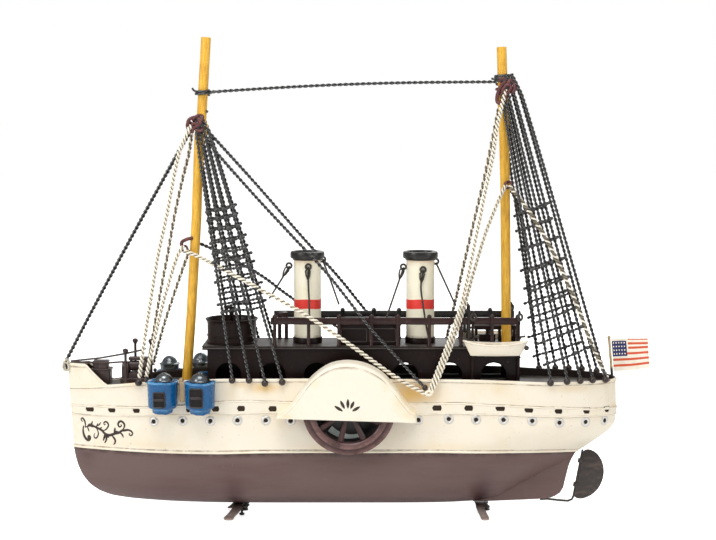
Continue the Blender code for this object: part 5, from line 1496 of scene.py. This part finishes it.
# Columns: distance from the middle plane, height.
DAVIT_LINE = ((23.4, 97.3), (23.4, 125.0), (23.4, 147.0), (24.4, 150.6), (27.0, 152.3), (29.6, 151.2))
PIN_X = 78.6
for side, name in SIDES:
    fittings = []
    for place, x in zip(("fore", "aft"), DAVIT_X):
        post = curve([(x, side * y, z) for y, z in DAVIT_LINE], 1.5)
        radius = np.interp(post[:, 2], (97.0, 122.0, 140.0, 153.0), (1.1, 1.1, 0.95, 0.7))
        arm = swept(((x, side * 22.8, 120.5), (x, side * 31.7, 120.5)), 0.75, 8)
        davit = [swept(post, radius, 10, up=(1.0, 0.0, 0.0)), arm]
        make(f"davit_hook_{name}_{place}", davit, dark_enamel, 50.0,
             instead=f"davit_{name}_{place}")
        fittings.append(wire_ring((x, side * 29.4, 148.6), (1.7, 2.2), 0.8))
        y = side * 24.6
        fittings.append(swept(((x, y, 131.4), (x + 1.4, y, 134.0), (x + 4.6, y, 134.4)), 0.8, 6, up=ACROSS))
    pin = ((PIN_X, side * 21.9, 131.0), (PIN_X, side * 21.9, 156.0))
    fittings.append(swept(pin, (1.3, 0.7), 8, up=(1.0, 0.0, 0.0)))
    fittings.append(ball((118.4, side * BOAT_Y, 127.0), 1.8, 12))
    make("davit_fittings_" + name, fittings, guy_wire, 60.0)


# Paddle boxes. A flat cream front with a rounded shoulder, roofed back to the ship's side; the sheet's lower
# tips run out along the belt. The front's middle stays bare apart from a small fan of five strokes.
WHEEL_X = -6.4
WHEEL_Z = 85.9
BOX_SIDE_Y = 33.6
# Upper outline of the front from its forward tip to its after one: x, z.
BOX_TOP = (
    (-56.6, 80.6), (-56.2, 81.8), (-50.5, 84.9), (-44.8, 91.1), (-39.2, 99.2), (-34.4, 105.8), (-28.8, 111.1),
    (-23.1, 115.1), (-17.5, 117.6), (-11.8, 118.8), (-6.4, 119.1), (-0.6, 118.5), (6.0, 116.8), (12.5, 113.7),
    (18.2, 109.8), (22.9, 104.9), (27.6, 98.8), (32.4, 92.2), (37.1, 86.6), (40.8, 83.6), (40.8, 77.6),
)
# How far the front's edge lies inside the outline at the bow end, the top and the stern end.
SHOULDER = (1.2, 2.5, 2.8)
# Distance of the flat front from the middle plane.
FRONT_Y = 50.95
# From the front over the shoulder to the ship's side. Columns: share of the way in, distance, mark, which
# is a line of painted shade along the front's edge.
SHOULDER_ROWS = ((1.0, 50.9, 0.7), (0.93, 50.72, 0.45), (0.82, 50.85, 0.0), (0.5, 50.5, 0.0),
                 (0.22, 49.4, 0.0), (0.05, 47.5, 0.0), (0.0, 45.0, 0.0), (0.0, BOX_SIDE_Y, 0.0))
# Back again inside. Columns: share of the way in, distance.
INSIDE_ROWS = ((0.0, BOX_SIDE_Y), (0.0, 45.0), (0.6, 49.2), (1.1, 50.2))
box_cream = enamel("aged_cream_box_enamel", "FAF1DF", "F2E0BC", "B08A5A", 0.36, 34.0, 0.4, 0.25, 0.2,
                   rust_and_painted_light="EFD69E")
tips = [[(x, 0.0, z)] for x, z in (BOX_TOP[0], BOX_TOP[-1])]
top_line = np.vstack((tips[0], curve([(x, 0.0, z) for x, z in BOX_TOP[1:-1]], 1.5), tips[1]))


def box_shell(side):
    """Pressed sheet box, open below for the wheel: one section at each step along the top line.

    A section runs up the front, over the shoulder, back along the roof to the ship and forward again
    inside.
    """
    along = np.gradient(top_line, axis=0)
    along /= np.linalg.norm(along, axis=1)[:, None]
    inward = np.stack((along[:, 2], np.zeros(len(along)), -along[:, 0]), 1)
    base = top_line.copy()
    base[:, 2] = np.interp(base[:, 0], (BOX_TOP[0][0], BOX_TOP[-1][0]), (BOX_TOP[0][1], BOX_TOP[-1][1]))
    base[:, 2] = np.minimum(base[:, 2], top_line[:, 2] - 0.02)
    tall = top_line[:, 2] - base[:, 2]
    inset = np.interp(np.linspace(0.0, 1.0, len(top_line)), (0.0, 0.5, 1.0), SHOULDER)
    pull = np.minimum(inset, 0.6 * tall)[:, None]
    wall = np.minimum(0.6, 0.2 * tall)[:, None]
    depth = np.array((0.0, side, 0.0))
    rim = top_line + inward * pull
    rows, dirt_and_painted_light = [], []
    for share in (0.0, 0.25, 0.5, 0.7, 0.85, 0.95):
        rows.append(base + (rim - base) * share + FRONT_Y * depth)
        dirt_and_painted_light.append(0.0)
    for share, y, mark in SHOULDER_ROWS:
        rows.append(top_line + inward * pull * share + y * depth)
        dirt_and_painted_light.append(mark)
    # Inside the box the sheet is marked with painted shade.
    for share, y in INSIDE_ROWS:
        rows.append(top_line + inward * (pull * share + wall) + y * depth)
        dirt_and_painted_light.append(1.0)
    rows.append(base + INSIDE_ROWS[-1][1] * depth)
    dirt_and_painted_light.append(1.0)
    shape = stacked(np.swapaxes(np.array(rows), 0, 1))
    return (*shape, np.tile(dirt_and_painted_light, len(top_line)))


# Rust on the box. Columns: x, height, half length, half height, strength.
BOX_STAINS = (
    (30.0, 92.0, 6.0, 6.0, 0.5), (36.0, 84.0, 6.0, 4.0, 0.5), (-30.0, 106.0, 5.0, 4.0, 0.3),
    (20.0, 104.0, 4.0, 5.0, 0.3), (-50.0, 82.0, 5.0, 2.0, 0.4), (10.0, 81.0, 16.0, 2.0, 0.25),
)
# Fan on the box: five short strokes that spread from a point. Columns: lower x, z and upper x, z.
FAN = ((-10.6, 85.9, -16.2, 89.5), (-9.3, 87.7, -12.1, 93.2), (-7.0, 87.9, -7.0, 94.3),
       (-5.1, 87.7, -2.8, 92.7), (-3.9, 85.9, 1.3, 89.1))
FAN_Y = 51.0
for side, name in SIDES:
    make("paddle_cover_" + name, [with_rust_and_shade(box_shell(side), BOX_STAINS)], box_cream, 35.0,
         instead="paddle_box_" + name)
    strokes = []
    t = np.linspace(0.0, 1.0, 9)
    for x0, z0, x1, z1 in FAN:
        line = np.stack((x0 + (x1 - x0) * t, np.full(9, side * FAN_Y), z0 + (z1 - z0) * t), 1)
        width = 1.05 * np.sin(np.pi * (0.05 + 0.9 * t)) ** 0.8
        strokes.append(swept(line, width, 8, up=ACROSS, flat=0.4))
    make("fan_strokes_" + name, strokes, brush_brown, 60.0)


# Paddle wheels. A rim in two steps, nine tapered spokes and a plain hub on a stub axle.
WHEEL_AT = (WHEEL_X, 0.0, WHEEL_Z)
WHEEL_R = 31.5
WHEEL_Y = (37.0, 46.5)
SPOKES = 9
SPOKE_TURN_DEG = 14.5
# The wheel's pale mark colour is painted highlight on the rim's edges.
wheel_enamel = enamel("red_brown_wheel_enamel", "432A29", "643A38", "2E1E1C", 0.36, 10.0, 0.6, 0.4,
                      shine=0.45, dirt_and_painted_light="8C6862")


def shaft_axes(side):
    """Axes of a shape turned about the wheels' shaft: along, up and outwards on one side."""
    return upright[0], upright[2], np.array((0.0, float(side), 0.0))


for side, name in SIDES:
    r, y0, y1 = WHEEL_R, WHEEL_Y[0], WHEEL_Y[1]
    rim = ((r - 7.4, y0), (r + 0.5, y0), (r + 0.9, y0 + 0.4), (r + 0.9, y1 - 2.4), (r + 0.5, y1 - 2.0),
           (r - 2.8, y1 - 1.6), (r - 3.2, y1 - 0.4), (r - 3.8, y1), (r - 6.6, y1), (r - 7.4, y1 - 0.6))
    # Painted highlights on the rim's edges.
    dirt_and_painted_light = (0.0, 0.0, 0.0, 0.0, 0.8, 0.0, 0.0, 1.0, 0.3, 0.8)
    shapes = [with_painted_light_and_grime(turned(WHEEL_AT, rim, 96, shaft_axes(side), hollow=True), dirt_and_painted_light)]
    hub = ((2.6, y0), (6.0, y0), (6.0, y1 - 0.6), (5.4, y1), (2.6, y1))
    shapes.append(turned(WHEEL_AT, hub, 36, shaft_axes(side), hollow=True))
    for i in range(SPOKES):
        a = math.radians(-90.0 - SPOKE_TURN_DEG + 360.0 / SPOKES * i)
        c, s = math.cos(a), math.sin(a)
        loops = []
        for out, w in ((4.8, 1.2), (r - 6.8, 2.2)):
            section = ((-w, y0 + 3.0), (w, y0 + 3.0), (w, y1 - 3.0), (0.5 * w, y1 - 2.4),
                       (-0.5 * w, y1 - 2.4), (-w, y1 - 3.0))
            loops.append([(WHEEL_X + out * c - e * s, side * y, WHEEL_Z + out * s + e * c)
                          for e, y in section])
        shapes.append(stacked(loops))
    make("spoked_wheel_" + name, shapes, wheel_enamel, 35.0, "paddle_wheel_" + name,
         "paddle_wheel_" + name)
# Round plates on the ship's side behind each wheel: a grey one, a smaller black one over it, and over
# both a pale crescent that shows between the spokes, a painted reflection. Columns: label, radius,
# distance from the middle plane, finish, slot.
well_grey = enamel("dark_grey_plate_enamel", "2E302F", "1E201F", "6E706C", 0.5, 12.0, 0.7, 0.4)
painted_reflection_plate = enamel("pale_painted_reflection_plate", "D5E2DB", "B2C0BA", "8C9894", 0.4, 8.0, 0.5, 0.4)
WELLS = (("grey", 29.5, 34.0, well_grey, "grey_deck_paint"),
         ("black", 23.0, 34.5, black_enamel, "black_wire"))
CRESCENT_DEG = (-131.0, -70.0)
for side, name in SIDES:
    crescent = []
    for k, t in enumerate(np.radians(np.linspace(*CRESCENT_DEG, 19))):
        section = ((18.0 + 0.12 * k, 34.6), (22.6, 34.6), (22.6, 35.1), (18.0 + 0.12 * k, 35.1))
        crescent.append([(WHEEL_X + r * math.cos(t), side * y, WHEEL_Z + r * math.sin(t))
                         for r, y in section])
    make("wheel_well_crescent_" + name, [stacked(crescent)], painted_reflection_plate, 40.0)
    for label, radius, y, paint, slot in WELLS:
        plate = ((radius - 0.3, y - 1.0), (radius, y - 0.7), (radius, y + 0.1), (radius - 0.3, y + 0.3))
        disc = turned(WHEEL_AT, plate, 72, shaft_axes(side))
        make("wheel_well_" + label + "_" + name, [disc], paint, 40.0)
repaint(("paddle_axle_port", "paddle_axle_starboard"), steel_with_painted_reflections)


# Foredeck. A stepped hatch box, a windlass with posts, and thin rods from the stem ring over both.
iron_brown = enamel("brown_painted_iron", "3A2A27", "5E4A44", "85746A", 0.34, 7.0, 0.7, 0.5)
hatch = [slab((-192.6, -178.8), (-5.2, 5.2), (97.3, 107.6), 1.0, 0.5),
         slab((-193.0, -178.2), (-5.6, 5.6), (106.4, 108.2), 1.2, 0.5),
         slab((-191.6, -180.6), (-4.4, 4.4), (107.8, 112.6), 1.4, 0.6),
         slab((-192.0, -180.2), (-4.8, 4.8), (112.0, 113.6), 1.6, 0.7)]
make("hatch_steps", hatch, iron_brown, 40.0, instead="hatch_box")
lengthwise = (upright[1], upright[2], upright[0])
cheek = ((5.6, -170.4), (6.1, -169.9), (6.1, -166.0), (5.6, -165.5))
drum = ((3.2, -165.6), (3.75, -165.0), (3.5, -161.0), (3.5, -156.4), (3.75, -153.0), (3.2, -152.4))
knob = ((1.3, 97.3), (1.0, 98.4), (0.95, 119.8), (1.3, 120.6), (1.9, 121.4), (2.1, 122.3), (1.8, 123.3),
        (1.0, 123.8), (0.1, 123.9))


def taller(profile, more):
    """Profile of a post, with all but its foot raised."""
    return [(r, z if z < 100.0 else z + more) for r, z in profile]


windlass = [slab((-171.0, -153.0), (-9.0, 9.0), (97.3, 101.6), 0.8, 0.4),
            slab((-165.0, -153.6), (-7.4, 7.4), (101.2, 105.4), 0.6, 0.3),
            turned((0.0, 0.0, 106.8), cheek, 28, lengthwise),
            slab((-170.4, -165.5), (-6.1, 6.1), (101.2, 107.0), 0.4, 0.2),
            turned((0.0, 0.0, 109.8), drum, 24, lengthwise),
            slab((-166.0, -152.2), (-2.4, 2.4), (113.8, 116.2), 0.8, 0.5),
            slab((-154.4, -152.8), (-2.0, 2.0), (101.2, 114.4), 0.4, 0.2),
            turned((-166.4, -12.0, 0.0), knob, 14),
            slab((-168.0, -164.8), (-13.2, -8.6), (97.3, 99.4), 0.5, 0.3),
            turned((-163.0, 12.0, 0.0), taller(knob, 4.0), 14),
            slab((-164.8, -161.4), (8.6, 13.2), (97.3, 99.4), 0.5, 0.3)]
make("windlass_drum_and_posts", windlass, iron_brown, 40.0, instead="windlass")
UPPER_ROD = ((-207.4, -1.6, 113.2), (-186.2, -5.0, 115.9), (-166.8, -11.0, 120.0), (-156.4, -11.0, 122.3),
             (-151.6, -12.0, 124.0))
LOWER_ROD = ((-207.4, -1.8, 112.6), (-193.0, -5.6, 112.9), (-180.0, -6.4, 112.6), (-168.7, -9.0, 113.8))
rods = [swept(UPPER_ROD, 0.7, 7), swept(LOWER_ROD, 0.7, 7),
        turned((-151.6, 13.0, 0.0), taller(knob, 3.4), 12)]
make("foredeck_rods", rods, iron_brown, 60.0)

# Stem ring. A loop of wire round the forestay's foot, with three pale turns of seizing.
pale_wire = enamel("pale_seizing_wire", "CFC7B4", "9C9484", "5E574B", 0.4, 3.0, 0.6, 0.5, 0.0)
a = full_turn(24)
hoop = np.stack((-211.6 + 0.7 * np.cos(a), 0.4 * np.sin(a), 109.4 + 3.0 * np.sin(a)), 1)
make("stem_ring", [swept(hoop, 0.7, 8, closed=True, up=ACROSS)], steel_with_painted_reflections, 60.0,
     instead="bow_ring")
# Columns: x and height of the turn's middle, its half length and its half height.
SEIZING = ((-211.0, 110.0, 2.6, 3.6), (-210.4, 110.6, 1.9, 4.2), (-211.3, 109.2, 2.2, 3.0))
loops = []
for k, (cx, cz, rx, rz) in enumerate(SEIZING):
    line = np.stack((cx + rx * np.cos(a), -1.1 - 0.7 * k + 0.5 * np.cos(2 * a), cz + rz * np.sin(a)), 1)
    loops.append(swept(line, 0.55, 7, closed=True, up=ACROSS))
make("stem_seizing", loops, pale_wire, 60.0)


# Flag. A staff with a dark foot and a tin flag beside it, white with red stripes and a blue corner with
# dots; the tin is bent in a slow wave, and its long edges bow out a little.
STAFF = ((184.6, 97.3), (181.5, 130.8))
FLAG_CORNERS = np.array(((183.1, 129.2), (209.6, 129.5), (211.6, 108.0), (185.4, 105.3)))
FLAG_HALF = 0.35
FLAG_WAVE = 0.55
flag_white = enamel("flag_white", "FBF3E2", "E9D6B4", "C0A57C", 0.45, 9.0, 0.5, 0.3)
flag_red = enamel("flag_red", "DE5A34", "CC4A28", "F2C9A8", 0.45, 4.0, 0.5, 0.4)
flag_blue = enamel("flag_blue", "2B2E63", "1E2148", "6A6C92", 0.45, 4.0, 0.5, 0.3)
staff_tan = enamel("tan_staff", "C9B48C", "A08660", "5A4636", 0.5, 5.0, 0.7, 0.6, rust_and_painted_light="3A2C26")
foot, head = (np.array((x, 0.0, z)) for x, z in STAFF)
rod = [foot + (head - foot) * share for share in (0.0, 0.3, 0.36, 0.6, 1.0)]
# Below zero is the staff's rust colour, which is its dark foot.
rod_shape = with_painted_light_and_grime(swept(rod, (1.05, 1.0, 1.0, 0.95, 0.95), 12, up=ACROSS), (-1.0, -1.0, 0.0, 0.0, 0.0))
staff_head = ball(head - (0.0, 0.0, 0.5), 1.3, 12)
make("staff_rod", [rod_shape, staff_head], staff_tan, 50.0, instead="flagstaff")


def flag_patch(u, v, thick, columns=12, rows=2):
    """Thin plate on the flag between shares u of its length and v of its drop, bent with the flag."""
    loops = []
    for s in np.linspace(u[0], u[1], columns):
        ring = []
        down = np.linspace(v[0], v[1], rows)
        for t, face in [(t, -1) for t in down] + [(t, 1) for t in down[::-1]]:
            top = FLAG_CORNERS[0] + (FLAG_CORNERS[1] - FLAG_CORNERS[0]) * s
            low = FLAG_CORNERS[3] + (FLAG_CORNERS[2] - FLAG_CORNERS[3]) * s
            x, z = top + (low - top) * t
            y = FLAG_WAVE * math.sin(2.2 * np.pi * s + 1.4 * t)
            ring.append((x, y + face * thick, z - 0.5 * math.sin(np.pi * s) * (t - 0.4)))
        loops.append(ring)
    return stacked(loops)


tin = flag_patch((0.0, 1.0), (0.0, 1.0), FLAG_HALF, 41, 21)
make("flag_tin", [tin], flag_white, 40.0, instead="flag")
# Upper and lower edge of each stripe as shares of the drop. The first three start just past the corner.
STRIPES = ((0.005, 0.04), (0.12, 0.19), (0.255, 0.325), (0.43, 0.50), (0.61, 0.68), (0.79, 0.86))
stripes = []
for v in STRIPES:
    start, columns = (0.44, 25) if v[1] < 0.5 else (0.01, 41)
    stripes.append(flag_patch((start, 0.995), v, FLAG_HALF + 0.09, columns))
make("flag_stripes", stripes, flag_red, 40.0)
corner = flag_patch((0.01, 0.40), (0.07, 0.54), FLAG_HALF + 0.12, 19, 11)
make("flag_corner", [corner], flag_blue, 40.0)
# Share of the flag's length and of its drop from one dot to the next.
DOT_STEP = (0.073, 0.112)
dots = []
for i in range(5):
    for k in range(4):
        u0, v0 = 0.035 + DOT_STEP[0] * i, 0.11 + DOT_STEP[1] * k
        dots.append(flag_patch((u0, u0 + 0.03), (v0, v0 + 0.04), FLAG_HALF + 0.2, 3))
make("flag_dots", dots, flag_white, 40.0)


# Rudder. A half-round plate held on a bent wire under the counter by two clips rolled from the same sheet.
RUDDER_PIN = np.array(((157.4, 0.0, 13.5), (163.3, 0.0, 46.3)))
RUDDER_LINE = ((158.2, 12.9), (160.6, 11.7), (165.1, 12.0), (170.9, 14.8), (175.7, 19.8), (178.6, 26.7),
               (179.1, 33.7), (177.2, 40.6), (173.2, 45.7), (168.6, 47.9), (165.7, 47.6), (164.15, 46.4))
RUDDER_FACE_Y = 0.6
RUDDER_MIDDLE_Y = 0.72
rudder_enamel = enamel("streaked_grey_brown_enamel", "352E2B", "63514A", "8C8278", 0.36, 6.0, 0.9, 0.4, 0.3,
                       stretch=(0.5, 0.5, 1.4))
along = (RUDDER_PIN[1] - RUDDER_PIN[0]) / np.linalg.norm(RUDDER_PIN[1] - RUDDER_PIN[0])
aft_way = np.array((along[2], 0.0, -along[0]))
edge = curve([(x, 0.0, z) for x, z in RUDDER_LINE], 1.2)
plates = [np.column_stack((edge[:, 0], np.full(len(edge), y), edge[:, 2]))
          for y in (-RUDDER_FACE_Y, RUDDER_FACE_Y)]
middle = edge.mean(axis=0)
inner = [middle + (p - middle) * 0.985 for p in plates]
inner[0][:, 1] = -RUDDER_MIDDLE_Y
inner[1][:, 1] = RUDDER_MIDDLE_Y
shapes = [stacked([inner[0], plates[0], plates[1], inner[1]])]
clip = ((1.1, -1.5), (1.9, -1.5), (1.9, 1.5), (1.1, 1.5))
for share in (0.26, 0.80):
    centre = RUDDER_PIN[0] + (RUDDER_PIN[1] - RUDDER_PIN[0]) * share
    shapes.append(turned(centre, clip, 20, (aft_way, upright[1], along), hollow=True))
make("rudder_plate", shapes, rudder_enamel, 40.0, "rudder", "rudder")
WIRE_LINE = ((133.0, 10.9), (138.0, 11.3), (146.0, 10.4), (153.4, 9.8), (156.2, 11.0), (157.4, 13.5),
             (163.3, 46.3), (163.55, 47.9))
bent_wire = swept([(x, 0.0, z) for x, z in WIRE_LINE], 0.8, 10, up=ACROSS)
make("rudder_bent_wire", [bent_wire], guy_wire, 50.0, instead="rudder_wire")
